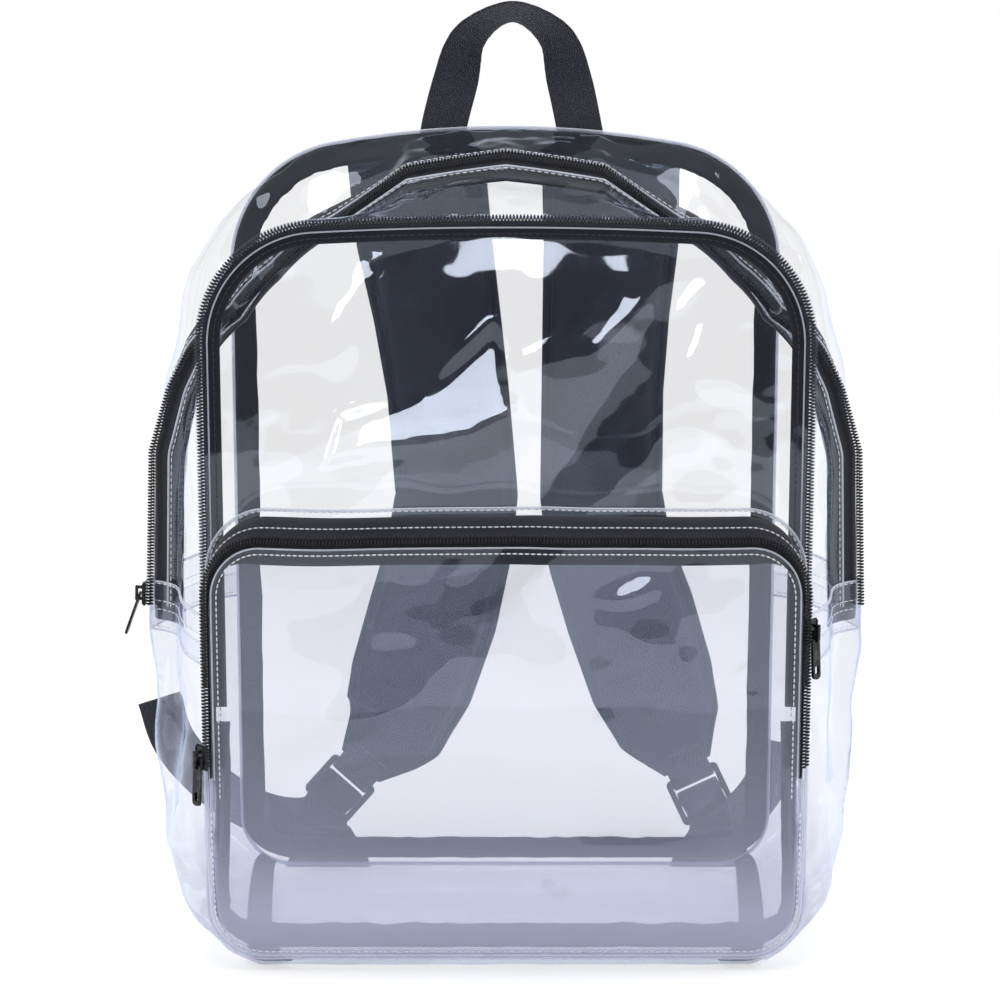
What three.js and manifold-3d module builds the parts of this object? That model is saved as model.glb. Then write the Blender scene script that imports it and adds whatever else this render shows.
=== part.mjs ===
// A clear film backpack that stands on its own: three zipped compartments, black seam binding,
// a webbing grab handle and two padded shoulder straps.
// Millimetres, +Z up. The front faces -Y and +X is the right-hand side seen from the front.
import * as THREE from 'three';
import Module from 'manifold-3d';

const wasm = await Module();
wasm.setup();

// Body
const panelWidth = 305;
const backHeight = 432;
const frontHeight = 387;
const seamLift = 8;
const baseDepth = 152;
const frontDepth = 26;
const footRadius = 28;
const backShoulder = 68;
const backLean = 10;
const frontShoulder = 60;
const frontLean = 3;
const film = 1;
const gap = 0.3;
const drape = 0.8;
const sideBulge = 42;
const shoulderSag = 40;
const panelBulge = 9;
const buckle = 5;

// Front pocket
const pocketHeight = 242;
const pocketDepth = 11;
const pocketInset = 4.5;
const pocketShoulder = 30;
const pocketTopDrop = 11;
const pocketBulge = 4;

// Seam binding
const bindingWidth = 12;
const bindingThickness = 1.5;
const bindingSetback = 3.2;

// Zips
const tapeWidth = 30;
const tapeThickness = 1;
const coilWidth = 6;
const coilHeight = 2.4;
const coilSlot = 12;
const mainZipEnd = 175;
const frontZipEnd = 140;
const pocketZipEnd = 106;
const tapeTail = 9;
const sliderLength = 13;
const sliderWidth = 9;
const sliderThickness = 2;
const bridgeHeight = 4.2;
const bridgeLength = 8;
const bridgeWire = 1.6;
const pullLength = 25;
const pullWidth = 6;
const pullThickness = 1.4;
const pullEye = 4.6;

// Straps and handle
const strapWidth = 75;
const strapThickness = 9;
const strapSewn = 3;
const strapBow = 52;
const strapTop = 421;
const strapEnd = 60;
const strapSpread = 108;
const strapDrift = 16;
const webWidth = 25.4;
const webThickness = 1.6;
const handleRise = 67;
const handleSpan = 78;
const handleOffset = 4;
const handleSewn = 5;
const lockWidth = 33;
const lockHeight = 28;
const lockThickness = 3.4;
const lockBar = 4.5;
const lockGap = 4;
const loopSewn = 10;
const tabWidth = 50;
const tabHeight = 24;
const tailLengths = { left: 128, right: 80 };

const backY = baseDepth / 2;
const frontY = -baseDepth / 2;
const layer = film + gap;
const bindingBehind = film / 2 + drape + bindingThickness / 2;
const core = new THREE.Vector3(0, 0, backHeight / 2);

const looks = {
  film: new THREE.MeshStandardMaterial({
    color: 0xe9ebf2, roughness: 0.06, metalness: 0, transparent: true, opacity: 0.3,
  }),
  tape: new THREE.MeshStandardMaterial({ color: 0x15161b, roughness: 0.85, metalness: 0 }),
  coil: new THREE.MeshStandardMaterial({ color: 0x0d0d10, roughness: 0.45, metalness: 0 }),
  webbing: new THREE.MeshStandardMaterial({ color: 0x17181d, roughness: 0.9, metalness: 0 }),
  padding: new THREE.MeshStandardMaterial({ color: 0x1a1b20, roughness: 0.95, metalness: 0 }),
  slider: new THREE.MeshStandardMaterial({ color: 0x121214, roughness: 0.35, metalness: 0.6 }),
  plastic: new THREE.MeshStandardMaterial({ color: 0x101012, roughness: 0.4, metalness: 0 }),
};

const vec = (x, y, z) => new THREE.Vector3(x, y, z);
const mix = (a, b, share) => a + (b - a) * share;
const clamp = (value, low, high) => Math.min(high, Math.max(low, value));
const ease = (share) => {
  const s = clamp(share, 0, 1);
  return s * s * (3 - 2 * s);
};

// One row of a table at a value of its key column, eased between the rows on either side.
function rowAt(table, key, value) {
  const last = table.length - 1;
  if (value <= table[0][key]) return table[0];
  if (value >= table[last][key]) return table[last];
  const next = table.findIndex((row) => row[key] > value);
  const [low, high] = [table[next - 1], table[next]];
  const share = (value - low[key]) / (high[key] - low[key]);
  return Object.fromEntries(Object.keys(low).map((name) => [name, mix(low[name], high[name], share)]));
}

// Outlines. A place runs from 0 at the middle of the foot, up the right side, to 5 at the middle
// of the top, and down the left side to 10. Each whole number starts a foot, corner, side,
// shoulder or top stretch.
function outline({ half, foot, top, corner, shoulder, lean }) {
  const footX = half - corner;
  const footZ = foot + corner;
  const tilt = THREE.MathUtils.degToRad(lean);
  const shoulderX = half - shoulder;
  const topX = shoulderX + shoulder * Math.sin(tilt);
  const topEdge = top - (Math.tan(tilt) * topX) / 2;
  const shoulderZ = topEdge - shoulder * Math.cos(tilt);
  const crown = Math.tan(tilt) / (2 * topX);
  const rightSide = (place) => {
    const part = Math.min(4, Math.floor(place));
    const share = place - part;
    if (part === 0) return [footX * share, foot];
    if (part === 1) {
      const turn = (share * Math.PI) / 2;
      return [footX + corner * Math.sin(turn), footZ - corner * Math.cos(turn)];
    }
    if (part === 2) return [half, mix(footZ, shoulderZ, share)];
    if (part === 3) {
      const turn = share * (Math.PI / 2 - tilt);
      return [shoulderX + shoulder * Math.cos(turn), shoulderZ + shoulder * Math.sin(turn)];
    }
    const x = topX * (1 - share);
    return [x, top - crown * x * x];
  };
  const pointAt = (place) => {
    const around = ((place % 10) + 10) % 10;
    const [x, z] = rightSide(around <= 5 ? around : 10 - around);
    return [around <= 5 ? x : -x, z];
  };
  const at = (place, inset = 0) => {
    const step = 0.004;
    const [ax, az] = pointAt(place - step);
    const [bx, bz] = pointAt(place + step);
    const length = Math.hypot(bx - ax, bz - az);
    const out = [(bz - az) / length, -(bx - ax) / length];
    const [x, z] = pointAt(place);
    return { x: x - out[0] * inset, z: z - out[1] * inset, out };
  };
  const footAt = (x) => {
    const over = clamp(Math.abs(x) - footX, 0, corner);
    return footZ - Math.sqrt(corner * corner - over * over);
  };
  const topAt = (x) => {
    const side = Math.abs(x);
    if (side <= topX) return top - crown * x * x;
    const over = clamp(side - shoulderX, 0, shoulder);
    return shoulderZ + Math.sqrt(shoulder * shoulder - over * over);
  };
  const placeAt = (z) => 2 + (z - footZ) / (shoulderZ - footZ);
  return { half, foot, top, footZ, shoulderZ, at, footAt, topAt, placeAt };
}

const backOutline = outline({
  half: panelWidth / 2, foot: seamLift, top: backHeight,
  corner: footRadius, shoulder: backShoulder, lean: backLean,
});
const frontOutline = outline({
  half: panelWidth / 2, foot: seamLift, top: frontHeight,
  corner: footRadius, shoulder: frontShoulder, lean: frontLean,
});
const pocketOutline = outline({
  half: panelWidth / 2 - pocketInset, foot: seamLift + pocketInset, top: pocketHeight,
  corner: footRadius - pocketInset, shoulder: pocketShoulder, lean: 1,
});
const rimOutline = outline({
  half: panelWidth / 2 - 1, foot: seamLift + 1, top: pocketHeight - pocketTopDrop,
  corner: footRadius - 1, shoulder: pocketShoulder, lean: 1,
});

// Stations along an outline from one place to another, closer together round the corners.
const partSteps = [3, 4, 6, 5, 4];
function stations(from, to) {
  const places = [from];
  for (let turn = Math.floor(from / 10); turn * 10 < to; turn++) {
    for (let part = 0; part < 10; part++) {
      const steps = partSteps[part < 5 ? part : 9 - part];
      for (let k = 0; k < steps; k++) {
        const place = turn * 10 + part + k / steps;
        if (place > from + 0.03 && place < to - 0.03) places.push(place);
      }
    }
  }
  places.push(to);
  return places;
}
const around = stations(0, 10).slice(0, -1);
const mirrored = (place) => {
  const turn = ((place % 10) + 10) % 10;
  return turn <= 5 ? turn : 10 - turn;
};

// Solids
function geometryFrom(points, faces) {
  const at = (i) => points[i];
  let volume = 0;
  for (const [a, b, c] of faces) volume += at(a).dot(at(b).clone().cross(at(c)));
  const ordered = volume < 0 ? faces.map(([a, b, c]) => [a, c, b]) : faces;
  const geometry = new THREE.BufferGeometry();
  geometry.setAttribute('position', new THREE.Float32BufferAttribute(points.flatMap((p) => p.toArray()), 3));
  geometry.setIndex(ordered.flat());
  geometry.computeVertexNormals();
  return geometry;
}

function gridNormals(rows, loop) {
  const count = rows.length;
  const width = rows[0].length;
  const row = (i) => rows[loop ? (i + count) % count : clamp(i, 0, count - 1)];
  const normals = rows.map((points, i) => points.map((_, j) => {
    const along = row(i + 1)[j].clone().sub(row(i - 1)[j]);
    const across = points[Math.min(j + 1, width - 1)].clone().sub(points[Math.max(j - 1, 0)]);
    return along.cross(across).normalize();
  }));
  let facing = 0;
  rows.forEach((points, i) => points.forEach((p, j) => {
    facing += normals[i][j].dot(p.clone().sub(core));
  }));
  if (facing < 0) normals.flat().forEach((n) => n.negate());
  return normals;
}

// A sheet of one thickness through a grid of points. It lies `lift` outside the grid.
function sheet(rows, { thickness = film, lift = 0, loop = false } = {}) {
  const normals = gridNormals(rows, loop);
  const count = rows.length;
  const width = rows[0].length;
  const side = (distance) => rows.flatMap((points, i) => points.map(
    (p, j) => p.clone().addScaledVector(normals[i][j], distance),
  ));
  const points = [...side(lift + thickness / 2), ...side(lift - thickness / 2)];
  const outer = (i, j) => (i % count) * width + j;
  const inner = (i, j) => count * width + outer(i, j);
  const faces = [];
  const quad = (a, b, c, d) => faces.push([a, b, c], [a, c, d]);
  const spans = loop ? count : count - 1;
  for (let i = 0; i < spans; i++) {
    for (let j = 0; j + 1 < width; j++) {
      quad(outer(i, j), outer(i + 1, j), outer(i + 1, j + 1), outer(i, j + 1));
      quad(inner(i, j), inner(i, j + 1), inner(i + 1, j + 1), inner(i + 1, j));
    }
    quad(outer(i, 0), inner(i, 0), inner(i + 1, 0), outer(i + 1, 0));
    quad(outer(i, width - 1), outer(i + 1, width - 1), inner(i + 1, width - 1), inner(i, width - 1));
  }
  if (!loop) {
    for (let j = 0; j + 1 < width; j++) {
      quad(outer(0, j), outer(0, j + 1), inner(0, j + 1), inner(0, j));
      quad(outer(count - 1, j), inner(count - 1, j), inner(count - 1, j + 1), outer(count - 1, j + 1));
    }
  }
  return geometryFrom(points, faces);
}

// A convex section carried through a list of frames { at, side, up }, capped at both ends.
function sweep(section, frames) {
  const points = frames.flatMap(({ at, side, up, wide = 1, thick = 1 }) => section.map(
    ([a, b]) => at.clone().addScaledVector(side, a * wide).addScaledVector(up, b * thick),
  ));
  const n = section.length;
  const faces = [];
  for (let i = 0; i + 1 < frames.length; i++) {
    for (let j = 0; j < n; j++) {
      const [a, b] = [i * n + j, i * n + ((j + 1) % n)];
      faces.push([a, b, b + n], [a, b + n, a + n]);
    }
  }
  const end = (frames.length - 1) * n;
  for (let j = 1; j + 1 < n; j++) faces.push([0, j + 1, j], [end, end + j, end + j + 1]);
  return geometryFrom(points, faces);
}

function block(width, depth, height, at) {
  const geometry = new THREE.BoxGeometry(width, depth, height);
  geometry.translate(...at);
  return geometry;
}

const solidOf = (geometry) => new wasm.Manifold(new wasm.Mesh({
  numProp: 3,
  vertProperties: new Float32Array(geometry.userData.corners),
  triVerts: new Uint32Array(geometry.userData.faces),
}));

// The eight-cornered body of a box, as joined-up corners for the boolean library.
function boxSolid(width, depth, height, at) {
  const corners = [];
  for (const z of [-0.5, 0.5]) for (const y of [-0.5, 0.5]) for (const x of [-0.5, 0.5]) {
    corners.push(at[0] + x * width, at[1] + y * depth, at[2] + z * height);
  }
  const faces = [
    0, 2, 1, 1, 2, 3, 4, 5, 6, 5, 7, 6, 0, 1, 4, 1, 5, 4,
    2, 6, 3, 3, 6, 7, 0, 4, 2, 2, 4, 6, 1, 3, 5, 3, 7, 5,
  ];
  return solidOf({ userData: { corners, faces } });
}

function geometryOf(solid) {
  const mesh = solid.getMesh();
  const geometry = new THREE.BufferGeometry();
  geometry.setAttribute('position', new THREE.BufferAttribute(new Float32Array(mesh.vertProperties), 3));
  geometry.setIndex(Array.from(mesh.triVerts));
  geometry.computeVertexNormals();
  return geometry;
}

const backpack = new THREE.Group();
function add(name, geometry, material, parent = backpack) {
  const mesh = new THREE.Mesh(geometry, material);
  mesh.name = name;
  parent.add(mesh);
  return mesh;
}

// Large dents and swells of the film. Places and sizes are shares of the panel's half width and
// height, and depth is a share of `buckle`.
const backFolds = [
  { x: -0.45, z: 0.8, wide: 0.35, tall: 0.1, tilt: 0.3, depth: 0.7 },
  { x: 0.35, z: 0.55, wide: 0.5, tall: 0.12, tilt: -0.4, depth: -0.8 },
  { x: -0.1, z: 0.28, wide: 0.55, tall: 0.1, tilt: 0.25, depth: 0.6 },
];
const dividerFolds = [
  { x: 0.3, z: 0.7, wide: 0.5, tall: 0.13, tilt: 0.35, depth: 0.5 },
  { x: -0.4, z: 0.35, wide: 0.4, tall: 0.14, tilt: -0.3, depth: -0.6 },
];
const frontFolds = [
  { x: -0.42, z: 0.86, wide: 0.2, tall: 0.07, tilt: 0.9, depth: 1 },
  { x: 0.38, z: 0.79, wide: 0.42, tall: 0.06, tilt: 0.55, depth: 1.1 },
  { x: -0.35, z: 0.68, wide: 0.5, tall: 0.06, tilt: 0.3, depth: -1 },
  { x: 0.2, z: 0.6, wide: 0.6, tall: 0.06, tilt: 0.4, depth: -0.4 },
];
const pocketFolds = [
  { x: 0.3, z: 0.72, wide: 0.4, tall: 0.12, tilt: -0.6, depth: 0.6 },
  { x: -0.5, z: 0.55, wide: 0.5, tall: 0.1, tilt: 0.3, depth: -0.6 },
  { x: 0.1, z: 0.22, wide: 0.9, tall: 0.07, tilt: 0.1, depth: -0.8 },
];
function folded(folds, shape, x, z) {
  const height = shape.top - shape.foot;
  return folds.reduce((sum, fold) => {
    const across = x / shape.half - fold.x;
    const rise = (z - shape.foot) / height - fold.z;
    const along = across * Math.cos(fold.tilt) + rise * Math.sin(fold.tilt);
    const athwart = rise * Math.cos(fold.tilt) - across * Math.sin(fold.tilt);
    return sum + buckle * fold.depth * Math.exp(-((along / fold.wide) ** 2) - (athwart / fold.tall) ** 2);
  }, 0);
}

// How far a point is inside its outline, from 0 at the seam to 1 well clear of it.
const fromSeam = (shape, x, z, reach = 70) => {
  const side = (shape.half - Math.abs(x)) / reach;
  const height = Math.min(z - shape.footAt(x), shape.topAt(x) - z) / reach;
  return ease(side) * ease(height);
};

// The front compartment is full depth from `waist` up and narrows to nothing at the foot.
const waist = mix(frontOutline.footZ, frontOutline.shoulderZ, 1 / 3);
const dividerY = (z) => frontY + layer + frontDepth * clamp((z - seamLift) / (waist - seamLift), 0, 1);
const surfaces = {
  back: (x, z) => backY + fromSeam(backOutline, x, z) * (panelBulge + folded(backFolds, backOutline, x, z)),
  divider: (x, z) => dividerY(z) + fromSeam(frontOutline, x, z) * folded(dividerFolds, frontOutline, x, z),
  front: (x, z) => frontY - fromSeam(frontOutline, x, z) * (panelBulge - folded(frontFolds, frontOutline, x, z)),
};
// The pocket stands its depth off the front panel, and less towards the foot.
const pocketForward = (z) => ease((z - seamLift) / 70);
surfaces.pocket = (x, z) => surfaces.front(x, z) - layer - drape - pocketDepth * pocketForward(z)
  - fromSeam(rimOutline, x, z) * (pocketBulge - folded(pocketFolds, rimOutline, x, z));

// A panel: columns from side to side, closer together near the seams, and rows from foot to top.
// One row is level, at the waist.
function panelRows(shape, surface, { inset = 0, topInset = inset, columns = 12, lines = 5, level = waist }) {
  const rows = [];
  for (let i = 0; i <= columns; i++) {
    const x = (shape.half - inset) * Math.sin(((i / columns) * 2 - 1) * Math.PI / 2);
    const reach = x * (shape.half / (shape.half - inset));
    const foot = shape.footAt(reach) + inset * 0.2;
    const top = shape.topAt(reach) - topInset;
    const row = [];
    for (let j = -lines; j <= lines; j++) {
      const share = Math.sin((Math.abs(j) / lines) * Math.PI / 2);
      const z = mix(level, j < 0 ? foot : top, mix(Math.abs(j) / lines, share, 0.6));
      row.push(vec(x, surface(x, z), z));
    }
    rows.push(row);
  }
  return rows;
}

add('back_panel', sheet(panelRows(backOutline, surfaces.back, {})), looks.film);
add('divider_panel', sheet(panelRows(frontOutline, surfaces.divider, { columns: 10, lines: 4 })), looks.film);
add('front_panel', sheet(panelRows(frontOutline, surfaces.front, { inset: 3.2, topInset: 4 })), looks.film);

// The main gusset. Its middle stands outside the line between the two seams by shares of the
// side bulge, shoulder sag and seam lift; `square` is 1 for a round section and less for a flat one.
const gussetSections = [
  { place: 0, out: 0, rise: 0, drop: 1.25, square: 0.3 },
  { place: 1, out: 0.1, rise: 0, drop: 1.25, square: 0.3 },
  { place: 1.25, out: 0.28, rise: 0, drop: 0.6, square: 0.5 },
  { place: 1.5, out: 0.52, rise: 0.16, drop: 0, square: 0.7 },
  { place: 2, out: 0.8, rise: 0.2, drop: 0, square: 0.8 },
  { place: 2.2, out: 0.94, rise: 0.08, drop: 0, square: 0.9 },
  { place: 2.45, out: 1, rise: 0, drop: 0, square: 1 },
  { place: 2.75, out: 0.92, rise: -0.12, drop: 0, square: 1 },
  { place: 2.9, out: 0.68, rise: -0.42, drop: 0, square: 1.1 },
  { place: 3, out: 0.45, rise: -0.72, drop: 0, square: 1.4 },
  { place: 3.35, out: 0.08, rise: -1, drop: 0, square: 2.2 },
  { place: 3.65, out: 0, rise: -0.95, drop: 0, square: 2.4 },
  { place: 4, out: -0.1, rise: -0.55, drop: 0, square: 2.2 },
  { place: 4.45, out: 0, rise: 0.08, drop: 0, square: 1 },
  { place: 5, out: 0, rise: 0.24, drop: 0, square: 1 },
];
function gussetPoint(place, turn, inward = 0) {
  const back = backOutline.at(place);
  const front = frontOutline.at(place);
  const row = rowAt(gussetSections, 'place', mirrored(place));
  const share = (1 - Math.cos(turn)) / 2;
  const bow = Math.max(0, Math.sin(turn)) ** row.square;
  const x = mix(back.x, front.x, share) + Math.sign(back.x) * row.out * sideBulge * bow;
  const z = mix(back.z, front.z, share) + (row.rise * shoulderSag - row.drop * seamLift) * bow;
  const y = mix(backY - layer, dividerY(front.z) + layer, share);
  return vec(x, y, Math.max(film / 2 + inward, z));
}
const gussetSpeed = (place) => {
  const step = 0.1;
  return gussetPoint(place, Math.PI / 2 + step).distanceTo(gussetPoint(place, Math.PI / 2 - step)) / (2 * step);
};
// Every strip of the gusset breaks at the same turns, so that strips and tape lie flat on each other.
const leaf = tapeWidth / 2;
const slit = coilSlot / 2;
function turnsAt(place) {
  const speed = gussetSpeed(place);
  const [rear, rearSlit, frontSlit, front] = [-leaf, -slit, slit, leaf].map((d) => Math.PI / 2 + d / speed);
  const rest = Math.PI - front;
  return [
    0, rear * 0.2, rear * 0.5, rear, rearSlit,
    frontSlit, front, front + rest * 0.5, front + rest * 0.8, Math.PI,
  ];
}
function gussetRows(places, from = 0, to = 9) {
  return places.map((place) => turnsAt(place).slice(from, to + 1).map((turn) => gussetPoint(place, turn)));
}

const averageSide = (z) => (backOutline.placeAt(z) + frontOutline.placeAt(z)) / 2;
const zipPlace = averageSide(mainZipEnd);
const bottomPlace = 1.12;
const jointGap = 0.6 / (backOutline.shoulderZ - backOutline.footZ);
const cornerGap = 0.6 / (footRadius * Math.PI / 2);
add('bottom_panel', sheet(gussetRows(stations(-bottomPlace, bottomPlace))), looks.film);
const sidePlaces = stations(bottomPlace + cornerGap, zipPlace - jointGap);
add('side_gusset_right', sheet(gussetRows(sidePlaces)), looks.film);
add('side_gusset_left', sheet(gussetRows(sidePlaces.map((p) => 10 - p).reverse())), looks.film);
const upperPlaces = stations(zipPlace, 10 - zipPlace);
add('upper_gusset_rear', sheet(gussetRows(upperPlaces, 0, 4)), looks.film);
add('upper_gusset_front', sheet(gussetRows(upperPlaces, 5, 9)), looks.film);

// The front compartment's gusset, a strip that narrows to nothing towards the foot.
const frontZipPlace = frontOutline.placeAt(frontZipEnd);
const frontGussetFrom = 2.1;
const frontGussetRows = stations(frontGussetFrom, 10 - frontGussetFrom).map((place) => {
  const seam = frontOutline.at(place);
  const zipped = mirrored(place) > frontZipPlace - 0.04;
  const forward = frontY + layer + (zipped ? 2.6 : 0);
  const rear = dividerY(seam.z) - layer;
  return [0, 0.5, 1].map((share) => vec(seam.x, mix(rear, forward, share), seam.z));
});
add('front_gusset', sheet(frontGussetRows), looks.film);

// Flat binding tape, inside along a seam and against its panel.
function bindingRows(shape, places, planeY, width = bindingWidth) {
  return places.map((place) => [0, 1].map((share) => {
    const at = shape.at(place, bindingSetback + share * width);
    return vec(at.x, planeY(at.x, at.z), at.z);
  }));
}
const bindingTop = frontZipPlace - 0.05;
add('back_binding', sheet(
  bindingRows(backOutline, around, (x, z) => surfaces.back(x, z) - bindingBehind),
  { thickness: bindingThickness, loop: true },
), looks.tape);
add('front_binding', sheet(
  bindingRows(frontOutline, stations(-bindingTop, bindingTop), (x, z) => surfaces.divider(x, z) + bindingBehind),
  { thickness: bindingThickness },
), looks.tape);

// Binding of the two seams that join the bottom panel to the sides, laid along the gusset's inside.
for (const [name, side] of [['right', 1], ['left', -1]]) {
  const rows = turnsAt(bottomPlace).slice(1, 9).map((turn) => [0, 1].map((edge) => {
    const run = bottomPlace - edge * (0.14 + 5 / (panelWidth / 2 - footRadius));
    return gussetPoint(side * run, turn);
  }));
  add(`bottom_binding_${name}`, sheet(rows, {
    thickness: bindingThickness, lift: -(film / 2 + drape + bindingThickness / 2),
  }), looks.tape);
}

// Zips. A zip's tape is a sheet in two leaves either side of its coil, and the coil a low ridge.
function coilSweep(line) {
  const half = coilWidth / 2;
  const section = [[-half, 0], [-half * 0.7, coilHeight * 0.8], [0, coilHeight], [half * 0.7, coilHeight * 0.8], [half, 0]];
  return sweep(section, line);
}
function addZip(name, tapeRows, coilFrames, tapeLift = 0) {
  add(`${name}_zip_tape`, sheet(tapeRows, { thickness: tapeThickness, lift: tapeLift }), looks.tape);
  add(`${name}_zip_coil`, coilSweep(coilFrames), looks.coil);
}

const tailPlaces = tapeTail / (backOutline.shoulderZ - backOutline.footZ);
const mainTapePlaces = stations(zipPlace - tailPlaces, 10 - zipPlace + tailPlaces);
const mainTapeRows = gussetRows(mainTapePlaces, 3, 6);
function gussetFrame(place, height) {
  const at = gussetPoint(place, Math.PI / 2);
  const along = gussetPoint(place + 0.02, Math.PI / 2).sub(gussetPoint(place - 0.02, Math.PI / 2)).normalize();
  const side = gussetPoint(place, Math.PI / 2 + 0.05).sub(gussetPoint(place, Math.PI / 2 - 0.05)).normalize();
  const up = along.clone().cross(side).normalize();
  if (up.dot(at.clone().sub(core)) < 0) up.negate();
  return { at: at.addScaledVector(up, height), along, side, up };
}
const underFilm = film / 2 + drape + tapeThickness / 2;
const coilSeat = -film / 2;
const mainCoil = upperPlaces.map((place) => gussetFrame(place, coilSeat));
addZip('main', mainTapeRows, mainCoil, -underFilm);

// A zip that runs round a rim: one leaf lies on the panel and one on the gusset behind it.
function rimZip(name, shape, places, panelSurface, toRear, stand = drape) {
  const inside = film + drape;
  const rim = (place) => {
    const at = shape.at(place);
    const faceY = (inset) => {
      const spot = shape.at(place, inset);
      return panelSurface(spot.x, spot.z) + film / 2 + stand + tapeThickness / 2;
    };
    const out = vec(at.out[0], 0, at.out[1]);
    const edge = vec(at.x, faceY(inside), at.z).addScaledVector(out, -inside);
    return { out, edge, faceY };
  };
  const tape = places.map((place) => {
    const { out, edge, faceY } = rim(place);
    const face = edge.clone().addScaledVector(out, -leaf);
    face.y = faceY(inside + leaf) + 2 * drape;
    return [edge.clone().add(toRear(place)), edge, face];
  });
  const frames = places.filter((_, i) => i > 0 && i + 1 < places.length).map((place) => {
    const { out, edge } = rim(place);
    const up = out.clone().add(vec(0, -1, 0)).normalize();
    const side = out.clone().add(vec(0, 1, 0)).normalize();
    return { at: edge.clone().addScaledVector(up, tapeThickness * 0.71 + 2 * gap), side, up };
  });
  addZip(name, tape, frames);
  return frames;
}
const frontZipPlaces = stations(frontZipPlace, 10 - frontZipPlace);
const straightBack = vec(0, leaf - film, 0);
const frontCoil = rimZip('front', frontOutline, frontZipPlaces, surfaces.front, () => straightBack);

// The front pocket. Its zip's rear leaf runs from the seam on the front panel to the rim, and below
// the zip a strip of film takes over.
const pocketZipPlace = rimOutline.placeAt(pocketZipEnd);
const pocketSeam = (place) => {
  const at = pocketOutline.at(place);
  return vec(at.x, surfaces.front(at.x, at.z) - layer - drape, at.z);
};
const pocketRim = (place) => {
  const at = rimOutline.at(place, film + drape);
  return vec(at.x, surfaces.pocket(at.x, at.z) + film + drape, at.z);
};
const pocketSides = { right: (place) => place, left: (place) => 10 - place };
for (const [name, sidePlace] of Object.entries(pocketSides)) {
  const rows = stations(1.6, pocketZipPlace - 0.05).map(sidePlace).map((place) => {
    const [seam, rim] = [pocketSeam(place), pocketRim(place)];
    return [0, 0.5, 1].map((share) => seam.clone().lerp(rim, share));
  });
  add(`pocket_gusset_${name}`, sheet(rows), looks.film);
}
add('pocket_panel', sheet(panelRows(rimOutline, surfaces.pocket, { inset: 3.2, topInset: 4 })), looks.film);
const pocketZipPlaces = stations(pocketZipPlace, 10 - pocketZipPlace);
const toPocketSeam = (place) => pocketSeam(place).sub(pocketRim(place)).multiplyScalar(0.9);
const pocketCoil = rimZip(
  'pocket', rimOutline, pocketZipPlaces, surfaces.pocket, toPocketSeam, 2 * drape,
);

// Zip sliders. A slider is a plate over the coil with a bridge, and its pull turns on the bridge.
// In its own frame Z runs along the zip away from the pull, X across it and Y away from the bag.
function sliderSolid() {
  const plateY = sliderThickness / 2;
  const bridgeTop = sliderThickness + bridgeHeight;
  const plate = boxSolid(sliderWidth, sliderThickness, sliderLength, [0, plateY, 0]);
  const legs = [-1, 1].map((end) => boxSolid(
    bridgeWire * 1.4, bridgeHeight, bridgeWire,
    [0, sliderThickness + bridgeHeight / 2 - 0.05, end * (bridgeLength - bridgeWire) / 2],
  ));
  const roof = boxSolid(bridgeWire * 1.4, bridgeWire, bridgeLength, [0, bridgeTop - bridgeWire / 2, 0]);
  return plate.add(legs[0]).add(legs[1]).add(roof);
}
// The pull hangs down its own -Z from an axis through the bridge. Its eye goes round the roof bar.
function pullSolid() {
  const bar = 1.5;
  const eyeDepth = pullEye;
  const plate = boxSolid(pullWidth, pullThickness, pullLength, [0, 0, bar / 2 - pullLength / 2]);
  const eye = boxSolid(pullWidth - 2 * bar, pullThickness * 3, eyeDepth, [0, 0, -bar / 2 - eyeDepth / 2]);
  const grip = boxSolid(pullWidth * 0.3, pullThickness * 3, pullLength * 0.2, [0, 0, -pullLength * 0.78]);
  return plate.subtract(eye).subtract(grip);
}
function addSlider(name, frame, tilt) {
  const holder = new THREE.Group();
  const down = frame.along.clone().multiplyScalar(frame.along.z > 0 ? 1 : -1);
  const across = frame.up.clone().cross(down).normalize();
  holder.matrix.makeBasis(across, frame.up, down);
  holder.matrix.setPosition(frame.at.clone().addScaledVector(frame.up, coilHeight + gap));
  holder.matrix.decompose(holder.position, holder.quaternion, holder.scale);
  add(`${name}_slider`, geometryOf(sliderSolid()), looks.slider, holder);
  const swing = new THREE.Group();
  swing.position.set(0, sliderThickness + (bridgeHeight - bridgeWire) / 2, 0);
  swing.rotation.x = tilt;
  holder.add(swing);
  add(`${name}_pull`, geometryOf(pullSolid()), looks.slider, swing);
  backpack.add(holder);
}
const withAlong = (frames, index) => {
  const frame = frames[index];
  const near = frames[index === frames.length - 1 ? index - 1 : index + 1];
  return { ...frame, along: near.at.clone().sub(frame.at).normalize() };
};
addSlider('main', gussetFrame(10 - zipPlace - sliderLength / 2 / 300, coilSeat), 0.32);
addSlider('front', withAlong(frontCoil, 0), 0.06);
addSlider('pocket', withAlong(pocketCoil, pocketCoil.length - 1), 0.06);

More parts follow.
